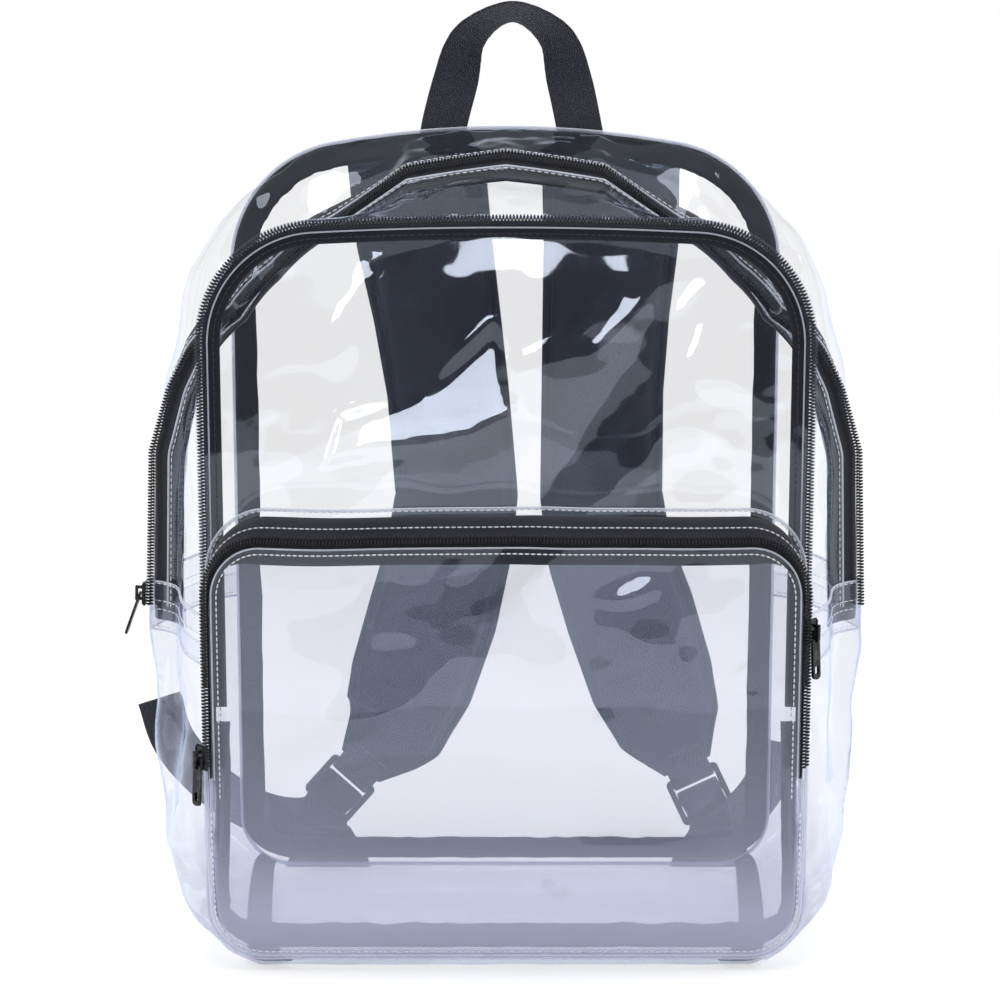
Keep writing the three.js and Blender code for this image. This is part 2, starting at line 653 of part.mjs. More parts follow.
// Shoulder straps. `down` is the share of the way from the sewn top to the lower end. `bow`, `part`,
// `drift` and `width` are shares of the strap's bow, half spread, sideways drift and width.
const strapSections = [
  { down: 0, bow: 0.02, part: 1.02, drift: 0.3, width: 1.04, thick: 0 },
  { down: 0.04, bow: 0.16, part: 1.01, drift: 0.32, width: 1.04, thick: 0.7 },
  { down: 0.136, bow: 0.52, part: 1, drift: 0.45, width: 1.05, thick: 1 },
  { down: 0.26, bow: 0.84, part: 0.92, drift: 0.6, width: 1, thick: 1 },
  { down: 0.388, bow: 0.98, part: 0.85, drift: 0.75, width: 0.97, thick: 1 },
  { down: 0.562, bow: 0.97, part: 0.8, drift: 0.9, width: 0.98, thick: 1 },
  { down: 0.657, bow: 0.86, part: 0.89, drift: 0.9, width: 1, thick: 1 },
  { down: 0.756, bow: 0.72, part: 1.09, drift: 1, width: 1.04, thick: 1 },
  { down: 0.867, bow: 0.55, part: 1.33, drift: 1, width: 1, thick: 1 },
  { down: 0.94, bow: 0.42, part: 1.52, drift: 1, width: 0.84, thick: 0.9 },
  { down: 1, bow: 0.34, part: 1.8, drift: 0.7, width: 0.4, thick: 0.55 },
];
const strapRoot = backY + film / 2 + drape + strapSewn / 2;
const strapPoint = (side, down) => {
  const row = rowAt(strapSections, 'down', down);
  const x = row.drift * strapDrift + (side * row.part * strapSpread) / 2;
  return { row, at: vec(x, strapRoot + row.bow * strapBow, mix(strapTop, strapEnd, down)) };
};
const padSection = [
  [-0.5, -0.22], [-0.46, -0.5], [0.46, -0.5], [0.5, -0.22],
  [0.5, 0.22], [0.46, 0.5], [-0.46, 0.5], [-0.5, 0.22],
];
function strapFrame(side, down) {
  const { row, at } = strapPoint(side, down);
  const before = strapPoint(side, Math.max(0, down - 0.02)).at;
  const after = strapPoint(side, Math.min(1, down + 0.02)).at;
  const along = after.sub(before).normalize();
  const face = vec(0, 1, 0).addScaledVector(along, -along.y).normalize();
  return {
    at, along, face, side: along.clone().cross(face).normalize(), up: face,
    wide: strapWidth * row.width, thick: mix(strapSewn, strapThickness, row.thick),
  };
}
const strapSteps = 24;
const strapSide = { left: -1, right: 1 };
for (const [name, side] of Object.entries(strapSide)) {
  const frames = Array.from({ length: strapSteps + 1 }, (_, i) => strapFrame(side, i / strapSteps));
  add(`shoulder_strap_${name}`, sweep(padSection, frames), looks.padding);
}

// Below each strap hangs a ladder lock. The adjusting webbing comes up from a sewn tab, goes in
// front of the lock, through its upper slot and down over its middle bar, and its tail runs free.
const webSection = [[-0.5, -0.5], [0.5, -0.5], [0.5, 0.5], [-0.5, 0.5]];
const tailSections = [
  { out: 0.03, rise: -0.05, rear: 0.01 },
  { out: 0.14, rise: -0.08, rear: 0 },
  { out: 0.32, rise: -0.05, rear: -0.02 },
  { out: 0.52, rise: 0.07, rear: -0.04 },
  { out: 0.68, rise: 0.26, rear: -0.07 },
  { out: 0.74, rise: 0.46, rear: -0.09 },
];
function webSweep(points, faces) {
  const curve = new THREE.CatmullRomCurve3(points, false, 'centripetal');
  const steps = (points.length - 1) * 3;
  return sweep(webSection, Array.from({ length: steps + 1 }, (_, i) => {
    const share = i / steps;
    const spot = share * (points.length - 1);
    const low = Math.min(points.length - 2, Math.floor(spot));
    const along = curve.getTangent(share);
    const face = faces[low].clone().lerp(faces[low + 1], spot - low);
    face.addScaledVector(along, -face.dot(along)).normalize();
    return { at: curve.getPoint(share), side: along.clone().cross(face).normalize(), up: face, wide: webWidth, thick: webThickness };
  }));
}
function addAdjuster(name, side) {
  const end = strapFrame(side, 1);
  const down = end.along;
  const face = end.face;
  const seat = end.at.clone().addScaledVector(down, lockHeight / 2 + lockGap);
  const slot = (lockHeight - 3 * lockBar) / 2;
  const lock = new THREE.Group();
  lock.matrix.makeBasis(down.clone().cross(face).normalize(), face, down.clone().negate());
  lock.matrix.setPosition(seat);
  lock.matrix.decompose(lock.position, lock.quaternion, lock.scale);
  const holes = [-1, 1].map((way) => boxSolid(
    webWidth + 4 * gap, lockThickness * 2, slot, [0, 0, (way * (lockBar + slot)) / 2],
  ));
  const plate = boxSolid(lockWidth, lockThickness, lockHeight, [0, 0, 0]);
  add(`ladder_lock_${name}`, geometryOf(plate.subtract(holes[0]).subtract(holes[1])), looks.plastic, lock);
  backpack.add(lock);

  const at = (up, out) => seat.clone().addScaledVector(down, -up).addScaledVector(face, out);
  const rear = face;
  const front = face.clone().negate();
  const below = down;
  const above = down.clone().negate();

  // The loop from the strap's end round the lock's top bar.
  const clear = lockThickness / 2 + drape + webThickness / 2;
  const barFoot = lockHeight / 2 - lockBar;
  const strapUp = lockHeight / 2 + lockGap;
  const strapClear = end.thick / 2 + 2 * gap + webThickness / 2;
  const loopTurn = barFoot - 2 * gap - webThickness / 2;
  const loop = [
    { up: strapUp + loopSewn, out: strapClear + 0.9, face: rear },
    { up: strapUp, out: strapClear, face: rear },
    { up: barFoot + lockBar / 2, out: clear + gap, face: rear },
    { up: loopTurn + 0.6, out: clear * 0.75, face: rear.clone().add(below) },
    { up: loopTurn, out: 0, face: below },
    { up: loopTurn + 0.6, out: -clear * 0.75, face: front.clone().add(below) },
    { up: barFoot + lockBar / 2, out: -clear - gap, face: front },
    { up: strapUp, out: -strapClear, face: front },
    { up: strapUp + loopSewn, out: -strapClear - 0.9, face: front },
  ];
  add(`lock_loop_${name}`, webSweep(
    loop.map((row) => at(row.up, row.out)), loop.map((row) => row.face),
  ), looks.webbing);

  const tabX = seat.x + side * 6;
  const tabAt = (z) => vec(tabX, surfaces.back(tabX, z) + film / 2 + drape + gap + webThickness / 2, z);
  const tabFrame = (z, wide) => ({
    at: tabAt(z), side: vec(1, 0, 0), up: vec(0, 1, 0), wide, thick: webThickness,
  });
  const tabFoot = seamLift / 2;
  add(`anchor_tab_${name}`, sweep(webSection, [
    tabFrame(tabFoot, tabWidth), tabFrame(tabFoot + tabHeight * 0.3, tabWidth * 0.9),
    tabFrame(tabFoot + tabHeight, webWidth),
  ]), looks.webbing);

  const webClear = clear;
  const slotAt = lockBar / 2 + 0.38 * slot;
  const anchor = tabAt(tabFoot + webThickness).add(vec(0, webThickness + 2 * drape, 0));
  const tail = tailSections.map((row) => at(-lockHeight / 2, webClear).add(vec(
    side * row.out * tailLengths[name], row.rear * tailLengths[name], row.rise * tailLengths[name],
  )));
  const path = [
    { at: anchor, face: front },
    { at: anchor.clone().lerp(at(-lockHeight / 2, -webClear), 0.6), face: front },
    { at: at(-lockHeight / 2, -webClear - gap), face: front },
    { at: at(0, -webClear), face: front },
    { at: at(slotAt - 0.6, -webClear * 0.8), face: front.clone().add(above) },
    { at: at(slotAt, 0), face: above },
    { at: at(slotAt - 0.6, webClear * 0.8), face: rear.clone().add(above) },
    { at: at(0, webClear), face: rear },
    { at: at(2 - lockHeight / 2, webClear + gap), face: rear },
    ...tail.map((point) => ({ at: point, face: rear })),
  ];
  add(`strap_webbing_${name}`, webSweep(
    path.map((row) => row.at), path.map((row) => row.face),
  ), looks.webbing);
}
for (const [name, side] of Object.entries(strapSide)) addAdjuster(name, side);

// The grab handle: flat at its sewn ends, turned on edge over its top.
const handleSections = [
  { along: 0, x: 0.5, rise: -1, twist: 0 },
  { along: 0.1, x: 0.5, rise: 0, twist: 0 },
  { along: 0.25, x: 0.41, rise: 0.42, twist: 12 },
  { along: 0.38, x: 0.3, rise: 0.8, twist: 38 },
  { along: 0.5, x: 0, rise: 1, twist: 68 },
];
const handleY = backY + film / 2 + 2 * drape + webThickness / 2;
const handleFoot = backHeight - 2;
const handlePoint = (share) => {
  const row = rowAt(handleSections, 'along', share <= 0.5 ? share : 1 - share);
  return { row, x: row.x * (share <= 0.5 ? -1 : 1) };
};
const handleCurve = new THREE.CatmullRomCurve3([0, 0.1, 0.25, 0.38, 0.5, 0.62, 0.75, 0.9, 1].map((share) => {
  const { row, x } = handlePoint(share);
  const rise = row.rise < 0 ? -handleSewn : row.rise * handleRise;
  return vec(handleOffset + x * handleSpan, handleY, handleFoot + rise);
}), false, 'centripetal');
const handleSteps = 28;
const handleFrames = Array.from({ length: handleSteps + 1 }, (_, i) => {
  const share = i / handleSteps;
  const at = handleCurve.getPointAt(share);
  const along = handleCurve.getTangentAt(share);
  const twist = THREE.MathUtils.degToRad(68) * ease((0.5 - Math.abs(share - 0.5)) / 0.5 * 1.25 - 0.25);
  const flat = vec(0, 1, 0);
  const width = along.clone().cross(flat).normalize();
  return {
    at, side: width.applyAxisAngle(along, twist), up: flat.applyAxisAngle(along, twist),
    wide: webWidth, thick: webThickness,
  };
});
add('grab_handle', sweep(webSection, handleFrames), looks.webbing);

// Stand the bag on z = 0 with the middle of its plan at the origin.
const bounds = new THREE.Box3().setFromObject(backpack, true);
const middle = bounds.getCenter(new THREE.Vector3());
backpack.position.set(-middle.x, -middle.y, -bounds.min.z);

export default backpack;
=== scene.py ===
import math

import bmesh
import bpy
from mathutils import Matrix, Vector, noise


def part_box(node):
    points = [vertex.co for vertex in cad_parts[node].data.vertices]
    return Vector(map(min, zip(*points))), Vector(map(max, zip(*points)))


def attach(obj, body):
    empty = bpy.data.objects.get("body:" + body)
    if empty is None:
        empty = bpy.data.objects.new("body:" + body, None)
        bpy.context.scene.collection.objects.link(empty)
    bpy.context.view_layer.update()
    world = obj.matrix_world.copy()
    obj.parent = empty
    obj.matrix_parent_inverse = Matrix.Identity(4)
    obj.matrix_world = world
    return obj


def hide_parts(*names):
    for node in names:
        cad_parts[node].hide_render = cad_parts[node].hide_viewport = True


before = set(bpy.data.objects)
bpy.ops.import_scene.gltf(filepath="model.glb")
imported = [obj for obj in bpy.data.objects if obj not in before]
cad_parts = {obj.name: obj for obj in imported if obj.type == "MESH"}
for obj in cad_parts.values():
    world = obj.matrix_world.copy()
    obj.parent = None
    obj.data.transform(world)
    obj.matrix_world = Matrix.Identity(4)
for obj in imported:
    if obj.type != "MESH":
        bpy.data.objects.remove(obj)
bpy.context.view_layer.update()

# A clear film backpack that stands on its own. Shapes are worked out in millimetres, with x = 0 and
# y = 0 in the middle of the body, and put into the frame's metres at the end.
MM = 0.001
back_low, back_high = (Vector(corner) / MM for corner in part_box("back_panel"))
ORIGIN = Vector(((back_low.x + back_high.x) / 2, back_low.y - 75.5, 0.0))

# Body sizes
PANEL_WIDTH = 305.0
BACK_HEIGHT = 432.0
FRONT_HEIGHT = 387.0
SEAM_LIFT = 8.0
BASE_DEPTH = 152.0
FRONT_DEPTH = 26.0
FOOT_RADIUS = 28.0
FILM = 1.0
GAP = 0.3
DRAPE = 0.8
SIDE_BULGE = 42.0
SHOULDER_SAG = 40.0
PANEL_BULGE = 9.0
BUCKLE = 5.0

# Pocket sizes
POCKET_HEIGHT = 242.0
POCKET_DEPTH = 11.0
POCKET_INSET = 4.5
POCKET_SHOULDER = 30.0
POCKET_TOP_DROP = 11.0
POCKET_BULGE = 4.0

# Binding, zip and strap sizes
BINDING_WIDTH = 12.0
BINDING_THICKNESS = 1.5
BINDING_SETBACK = 3.2
TAPE_WIDTH = 30.0
TAPE_THICKNESS = 1.0
COIL_WIDTH = 6.0
COIL_HEIGHT = 2.4
COIL_SLOT = 12.0
COIL_PITCH = 0.85
TOOTH_REACH = 1.2
TAPE_CLOTH = 0.8
FRONT_LEAF_EXTRA = 3.5
STITCH = 3.4
WIDE_STITCH = 3.6
CLOSE_STITCH = 3.0
THREAD_WIDTH = 0.34
MAIN_ZIP_END = 175.0
FRONT_ZIP_END = 140.0
POCKET_ZIP_END = 106.0
TAPE_TAIL = 9.0
SLIDER_LENGTH = 13.0
STRAP_WIDTH = 75.0
STRAP_THICKNESS = 9.0
STRAP_SEWN = 3.0
STRAP_BOW = 52.0
STRAP_TOP = 421.0
STRAP_END = 60.0
STRAP_SPREAD = 108.0
STRAP_DRIFT = 16.0
WEB_WIDTH = 25.4
WEB_THICKNESS = 1.6
HANDLE_RISE = 67.0
HANDLE_SPAN = 78.0
HANDLE_OFFSET = 4.0
LOCK_WIDTH = 33.0
LOCK_HEIGHT = 28.0
LOCK_THICKNESS = 3.4
LOCK_BAR = 4.5
LOCK_GAP = 4.0
TAB_WIDTH = 50.0
TAB_HEIGHT = 24.0
TAIL_LENGTHS = {"left": 128.0, "right": 80.0}

BACK_Y = BASE_DEPTH / 2
FRONT_Y = -BASE_DEPTH / 2
LAYER = FILM + GAP
CORE = Vector((0.0, 0.0, BACK_HEIGHT / 2))


def mix(a, b, share):
    return a + (b - a) * share


def clamp(value, low=0.0, high=1.0):
    return min(high, max(low, value))


def ease(share):
    s = clamp(share)
    return s * s * (3 - 2 * s)


def row_at(table, value):
    """A table's row at a value of its first column, between the rows on either side."""
    if value <= table[0][0]:
        return table[0]
    for low, high in zip(table, table[1:]):
        if value < high[0]:
            share = (value - low[0]) / (high[0] - low[0])
            return tuple(mix(a, b, share) for a, b in zip(low, high))
    return table[-1]


# Outlines of the panels
class Outline:
    """A panel's outline. Place 0 is the middle of the foot, 5 the middle of the top, 10 the foot again."""

    def __init__(self, half, foot, top, corner, shoulder, lean):
        self.half, self.foot, self.top, self.corner, self.shoulder = half, foot, top, corner, shoulder
        self.tilt = math.radians(lean)
        self.foot_x = half - corner
        self.foot_z = foot + corner
        self.shoulder_x = half - shoulder
        self.top_x = self.shoulder_x + shoulder * math.sin(self.tilt)
        top_edge = top - math.tan(self.tilt) * self.top_x / 2
        self.shoulder_z = top_edge - shoulder * math.cos(self.tilt)
        self.crown = math.tan(self.tilt) / (2 * self.top_x)

    def right_side(self, place):
        part = min(4, int(place))
        share = place - part
        if part == 0:
            return self.foot_x * share, self.foot
        if part == 1:
            turn = share * math.pi / 2
            return self.foot_x + self.corner * math.sin(turn), self.foot_z - self.corner * math.cos(turn)
        if part == 2:
            return self.half, mix(self.foot_z, self.shoulder_z, share)
        if part == 3:
            turn = share * (math.pi / 2 - self.tilt)
            return (self.shoulder_x + self.shoulder * math.cos(turn),
                    self.shoulder_z + self.shoulder * math.sin(turn))
        x = self.top_x * (1 - share)
        return x, self.top - self.crown * x * x

    def point(self, place):
        around = place % 10
        if around <= 5:
            return self.right_side(around)
        x, z = self.right_side(10 - around)
        return -x, z

    def at(self, place, inset=0.0):
        ax, az = self.point(place - 0.004)
        bx, bz = self.point(place + 0.004)
        length = math.hypot(bx - ax, bz - az)
        out = ((bz - az) / length, -(bx - ax) / length)
        x, z = self.point(place)
        return x - out[0] * inset, z - out[1] * inset, Vector((out[0], 0.0, out[1]))

    def foot_at(self, x):
        over = clamp(abs(x) - self.foot_x, 0, self.corner)
        return self.foot_z - math.sqrt(self.corner ** 2 - over ** 2)

    def top_at(self, x):
        side = abs(x)
        if side <= self.top_x:
            return self.top - self.crown * x * x
        over = clamp(side - self.shoulder_x, 0, self.shoulder)
        return self.shoulder_z + math.sqrt(self.shoulder ** 2 - over ** 2)

    def place_at(self, z):
        return 2 + (z - self.foot_z) / (self.shoulder_z - self.foot_z)

    def from_seam(self, x, z, reach=70.0):
        """0 at the seam, 1 well inside it."""
        height = min(z - self.foot_at(x), self.top_at(x) - z) / reach
        return ease((self.half - abs(x)) / reach) * ease(height)


back_outline = Outline(PANEL_WIDTH / 2, SEAM_LIFT, BACK_HEIGHT, FOOT_RADIUS, 68.0, 10)
front_outline = Outline(PANEL_WIDTH / 2, SEAM_LIFT, FRONT_HEIGHT, FOOT_RADIUS, 60.0, 3)
pocket_outline = Outline(PANEL_WIDTH / 2 - POCKET_INSET, SEAM_LIFT + POCKET_INSET, POCKET_HEIGHT,
                         FOOT_RADIUS - POCKET_INSET, POCKET_SHOULDER, 1)
rim_outline = Outline(PANEL_WIDTH / 2 - 1, SEAM_LIFT + 1, POCKET_HEIGHT - POCKET_TOP_DROP,
                      FOOT_RADIUS - 1, POCKET_SHOULDER, 1)

# Dents and swells: x, z, wide and tall in shares of the panel, tilt in radians, depth in buckles.
BACK_FOLDS = ((-0.45, 0.8, 0.35, 0.1, 0.3, 0.7), (0.35, 0.55, 0.5, 0.12, -0.4, -0.8),
              (-0.1, 0.28, 0.55, 0.1, 0.25, 0.6))
DIVIDER_FOLDS = ((0.3, 0.7, 0.5, 0.13, 0.35, 0.5), (-0.4, 0.35, 0.4, 0.14, -0.3, -0.6))
FRONT_FOLDS = ((-0.42, 0.86, 0.2, 0.07, 0.9, 1.0), (0.38, 0.79, 0.42, 0.06, 0.55, 1.1),
               (-0.35, 0.68, 0.5, 0.06, 0.3, -1.0), (0.2, 0.6, 0.6, 0.06, 0.4, -0.4))
POCKET_FOLDS = ((0.3, 0.72, 0.4, 0.12, -0.6, 0.6), (-0.5, 0.55, 0.5, 0.1, 0.3, -0.6),
                (0.1, 0.22, 0.9, 0.07, 0.1, -0.8))


def folded(folds, shape, x, z):
    total = 0.0
    for fold_x, fold_z, wide, tall, tilt, depth in folds:
        across = x / shape.half - fold_x
        rise = (z - shape.foot) / (shape.top - shape.foot) - fold_z
        along = across * math.cos(tilt) + rise * math.sin(tilt)
        athwart = rise * math.cos(tilt) - across * math.sin(tilt)
        total += BUCKLE * depth * math.exp(-((along / wide) ** 2) - (athwart / tall) ** 2)
    return total


def crease(x, z, seed, pitch, stretch, turn):
    """Long soft creases at one angle, from -1 to 1."""
    along = (x * math.cos(turn) + z * math.sin(turn)) / (pitch * stretch)
    athwart = (z * math.cos(turn) - x * math.sin(turn)) / pitch
    return noise.noise(Vector((along, athwart, seed)))


WAIST = mix(front_outline.foot_z, front_outline.shoulder_z, 1 / 3)


def divider_y(z):
    return FRONT_Y + LAYER + FRONT_DEPTH * clamp((z - SEAM_LIFT) / (WAIST - SEAM_LIFT))


def back_surface(x, z):
    swell = PANEL_BULGE + folded(BACK_FOLDS, back_outline, x, z)
    return BACK_Y + back_outline.from_seam(x, z) * swell


def divider_surface(x, z):
    swell = folded(DIVIDER_FOLDS, front_outline, x, z)
    return divider_y(z) + front_outline.from_seam(x, z) * swell


def front_surface(x, z):
    swell = PANEL_BULGE - folded(FRONT_FOLDS, front_outline, x, z)
    return FRONT_Y - front_outline.from_seam(x, z) * swell


def pocket_surface(x, z):
    swell = POCKET_BULGE - folded(POCKET_FOLDS, rim_outline, x, z)
    depth = POCKET_DEPTH * ease((z - SEAM_LIFT) / 70)
    return front_surface(x, z) - LAYER - DRAPE - depth - rim_outline.from_seam(x, z) * swell


# The main gusset: place, then shares of side bulge out, shoulder sag up and seam lift down, and the
# squareness of its section.
GUSSET_SECTIONS = (
    (0, 0, 0, 1.25, 0.3), (1, 0.1, 0, 1.25, 0.3), (1.25, 0.28, 0, 0.6, 0.5),
    (1.5, 0.52, 0.16, 0, 0.7), (2, 0.8, 0.2, 0, 0.8), (2.2, 0.94, 0.08, 0, 0.9),
    (2.45, 1, 0, 0, 1), (2.75, 0.92, -0.12, 0, 1), (2.9, 0.68, -0.42, 0, 1.1),
    (3, 0.45, -0.72, 0, 1.4), (3.35, 0.08, -1, 0, 2.2), (3.65, 0, -0.95, 0, 2.4),
    (4, -0.1, -0.55, 0, 2.2), (4.45, 0, 0.08, 0, 1), (5, 0, 0.24, 0, 1),
)


# The gusset's ridge along the zip, its puff behind each shoulder and the fold in front of the zip
RIDGE = 0.7
SHOULDER_PUFF = 19.0
PUFF_PLACE = 2.98
PUFF_REACH = 0.42
ZIP_FOLD = 11.0
TOP_FOLD = 5.5
FOLD_STEEPNESS = 5.2


def gusset_point(place, turn):
    place = place % 10
    back_x, back_z, out_way = back_outline.at(place)
    front_x, front_z, _ = front_outline.at(place)
    up_side = min(place, 10 - place)
    _, out, rise, drop, square = row_at(GUSSET_SECTIONS, up_side)
    share = (1 - math.cos(turn)) / 2
    ridge = RIDGE * ease((up_side - 1.5) / 0.6)
    hat = max(0.0, 1 - abs(math.cos(turn)))
    bow = mix(max(0.0, math.sin(turn)), hat, ridge) ** square
    side = 1 if back_x > 0 else -1
    x = mix(back_x, front_x, share) + side * out * SIDE_BULGE * bow
    z = mix(back_z, front_z, share) + (rise * SHOULDER_SAG - drop * SEAM_LIFT) * bow
    if up_side > 2:
        if turn < math.pi / 2:
            swell = SHOULDER_PUFF * math.sin(2 * turn) * math.exp(-((up_side - PUFF_PLACE) / PUFF_REACH) ** 2)
        else:
            past = (turn - math.pi / 2) * FOLD_STEEPNESS
            fold = mix(ZIP_FOLD, TOP_FOLD, ease((up_side - 3) / 1.2)) * ease((up_side - 2) / 0.3)
            swell = -fold * past * math.exp(1 - past)
        x += out_way.x * swell
        z += out_way.z * swell
    y = mix(BACK_Y - LAYER, divider_y(front_z) + LAYER, share)
    return Vector((x, y, max(FILM / 2, z)))


def gusset_turn(place, distance):
    """The turn that lies a distance in front of the gusset's middle line."""
    step = 0.1
    span = gusset_point(place, math.pi / 2 + step) - gusset_point(place, math.pi / 2 - step)
    return math.pi / 2 + distance * 2 * step / span.length


def outward(at, along, side):
    """The way that points out of the bag, square to two others."""
    up = along.cross(side).normalized()
    return up if up.dot(at - CORE) > 0 else -up


def gusset_frame(place, height, distance=0.0):
    turn = gusset_turn(place, distance) if distance else math.pi / 2
    at = gusset_point(place, turn)
    along = (gusset_point(place + 0.02, turn) - gusset_point(place - 0.02, turn)).normalized()
    side = (gusset_point(place, turn + 0.05) - gusset_point(place, turn - 0.05)).normalized()
    up = outward(at, along, side)
    return at + up * height, along, side, up


def average_side(z):
    return (back_outline.place_at(z) + front_outline.place_at(z)) / 2


ZIP_PLACE = average_side(MAIN_ZIP_END)
BOTTOM_PLACE = 1.12
FRONT_ZIP_PLACE = front_outline.place_at(FRONT_ZIP_END)
POCKET_ZIP_PLACE = rim_outline.place_at(POCKET_ZIP_END)
LEAF = TAPE_WIDTH / 2
SLIT = COIL_SLOT / 2


# A zip that runs round a rim, with one leaf on the panel and one on the strip behind it.
def rim_edge(shape, surface, stand, place):
    inside = FILM + DRAPE
    x, z, out = shape.at(place, inside)
    return Vector((x, surface(x, z) + FILM / 2 + stand + TAPE_THICKNESS / 2, z)), out


def rim_face(shape, surface, stand, place, leaf):
    x, z, _ = shape.at(place, FILM + DRAPE + leaf)
    return Vector((x, surface(x, z) + FILM / 2 + stand + TAPE_THICKNESS / 2 + 2 * DRAPE, z))


def rim_coil(shape, surface, stand, place):
    edge, out = rim_edge(shape, surface, stand, place)
    near, _ = rim_edge(shape, surface, stand, place + 0.02)
    up = (out + Vector((0, -1, 0))).normalized()
    side = (out + Vector((0, 1, 0))).normalized()
    return edge + up * (TAPE_THICKNESS * 0.71 + 2 * GAP), (near - edge).normalized(), side, up


def pocket_seam(place):
    x, z, _ = pocket_outline.at(place)
    return Vector((x, front_surface(x, z) - LAYER - DRAPE, z))


def pocket_rim(place):
    x, z, _ = rim_outline.at(place, FILM + DRAPE)
    return Vector((x, pocket_surface(x, z) + FILM + DRAPE, z))


FRONT_RIM = (front_outline, front_surface, DRAPE)
POCKET_RIM = (rim_outline, pocket_surface, 2 * DRAPE)


# Shader expressions
class Value:
    """One output of a finish's nodes, which numbers and other outputs can be added to."""

    def __init__(self, finish, socket):
        self.finish = finish
        self.socket = socket

    def calculate(self, operation, *others):
        sockets = {index: other for index, other in enumerate((self, *others))}
        return self.finish.add("ShaderNodeMath", {"operation": operation}, sockets)

    def reflected(self, operation, other):
        return self.finish.add("ShaderNodeMath", {"operation": operation}, {0: other, 1: self})

    def __add__(self, other):
        return self.calculate("ADD", other)

    def __radd__(self, other):
        return self.calculate("ADD", other)

    def __sub__(self, other):
        return self.calculate("SUBTRACT", other)

    def __rsub__(self, other):
        return self.reflected("SUBTRACT", other)

    def __mul__(self, other):
        return self.calculate("MULTIPLY", other)

    def __rmul__(self, other):
        return self.calculate("MULTIPLY", other)

    def __pow__(self, power):
        return self.calculate("POWER", power)


class Finish:
    """A material's node tree, built one node at a time."""

    def __init__(self, name, world=None):
        self.owner = world or bpy.data.materials.new(name)
        self.owner.use_nodes = True
        self.tree = self.owner.node_tree
        self.tree.nodes.clear()

    def add(self, kind, settings=None, sockets=None, out=0):
        node = self.tree.nodes.new(kind)
        for key, value in (settings or {}).items():
            if key == "stops":
                ramp = node.color_ramp.elements
                while len(ramp) < len(value):
                    ramp.new(0.5)
                for stop, (position, shade) in zip(ramp, value):
                    stop.position = position
                    stop.color = (shade, shade, shade, 1)
            else:
                setattr(node, key, value)
        for key, value in (sockets or {}).items():
            if isinstance(value, Value):
                self.tree.links.new(value.socket, node.inputs[key])
            else:
                node.inputs[key].default_value = value
        return Value(self, node.outputs[out])

    def place(self):
        return self.add("ShaderNodeTexCoord", out="Object")

    def clouds(self, scale, detail):
        sockets = {"Vector": self.place(), "Scale": scale, "Detail": detail}
        return self.add("ShaderNodeTexNoise", None, sockets, "Fac")

    def ramp(self, value, *stops):
        return self.add("ShaderNodeValToRGB", {"stops": stops}, {"Fac": value}, "Color")

    def blend(self, share, low, high):
        sockets = {"Factor": share, 6: (*low, 1), 7: (*high, 1)}
        return self.add("ShaderNodeMix", {"data_type": "RGBA"}, sockets, 2)

    def bump(self, height, distance, strength=1.0):
        sockets = {"Height": height, "Distance": distance, "Strength": strength}
        return self.add("ShaderNodeBump", None, sockets, "Normal")

    def cloth_threads(self, along, across):
        """Crossing threads of two pitches in metres, from 0 between them to 1 on them."""
        chart = {"Vector": self.add("ShaderNodeUVMap", {"uv_map": "chart"})}
        waves = []
        for axis, pitch in (("X", along), ("Y", across)):
            run = self.add("ShaderNodeSeparateXYZ", None, chart, axis)
            waves.append((run * (math.tau / pitch)).calculate("SINE"))
        return waves[0] * waves[1] * 0.5 + 0.5

    def shell(self, shader):
        """Gives the tree its outermost shader, and hands back the finished material or world."""
        is_world = isinstance(self.owner, bpy.types.World)
        node = self.tree.nodes.new("ShaderNodeOutputWorld" if is_world else "ShaderNodeOutputMaterial")
        self.tree.links.new(shader.socket, node.inputs["Surface"])
        return self.owner

    def surface(self, **sockets):
        named = {key.replace("_", " "): value for key, value in sockets.items()}
        return self.add("ShaderNodeBsdfPrincipled", None, named)


GLOSS_COLOUR = (0.77, 0.85, 1.0, 1)
FILM_ROUGHNESS = 0.035


def film_finish(name, tint, haze=0.0, foot_haze=0.0, gloss_floor=0.08):
    """Clear vinyl: see-through face on, mirror-like at a glancing angle, milkier towards the foot."""
    f = Finish(name)
    normal = f.bump(f.clouds(38, 1), 0.0006, 0.5)
    facing = f.add("ShaderNodeLayerWeight", None, {"Blend": 0.5, "Normal": normal}, "Facing")
    gloss_share = facing ** 5 * (1 - gloss_floor) + gloss_floor
    clear = f.add("ShaderNodeBsdfTransparent", None, {"Color": (*tint, 1)})
    gloss = f.add("ShaderNodeBsdfGlossy", None,
                  {"Color": GLOSS_COLOUR, "Roughness": FILM_ROUGHNESS, "Normal": normal})
    shader = f.add("ShaderNodeMixShader", None, {0: gloss_share, 1: clear, 2: gloss})
    if haze:
        milky = f.surface(Base_Color=(0.66, 0.69, 0.93, 1), Roughness=0.5)
        share = f.ramp(f.clouds(14, 1), (0.3, haze * 0.82), (0.7, haze * 1.18))
        height = f.add("ShaderNodeSeparateXYZ", None, {"Vector": f.place()}, "Z")
        share = share + f.ramp(height * 5, (0.16, foot_haze), (0.38, foot_haze * 0.3), (0.8, 0.0))
        shader = f.add("ShaderNodeMixShader", None, {0: share, 1: shader, 2: milky})
    return f.shell(shader)


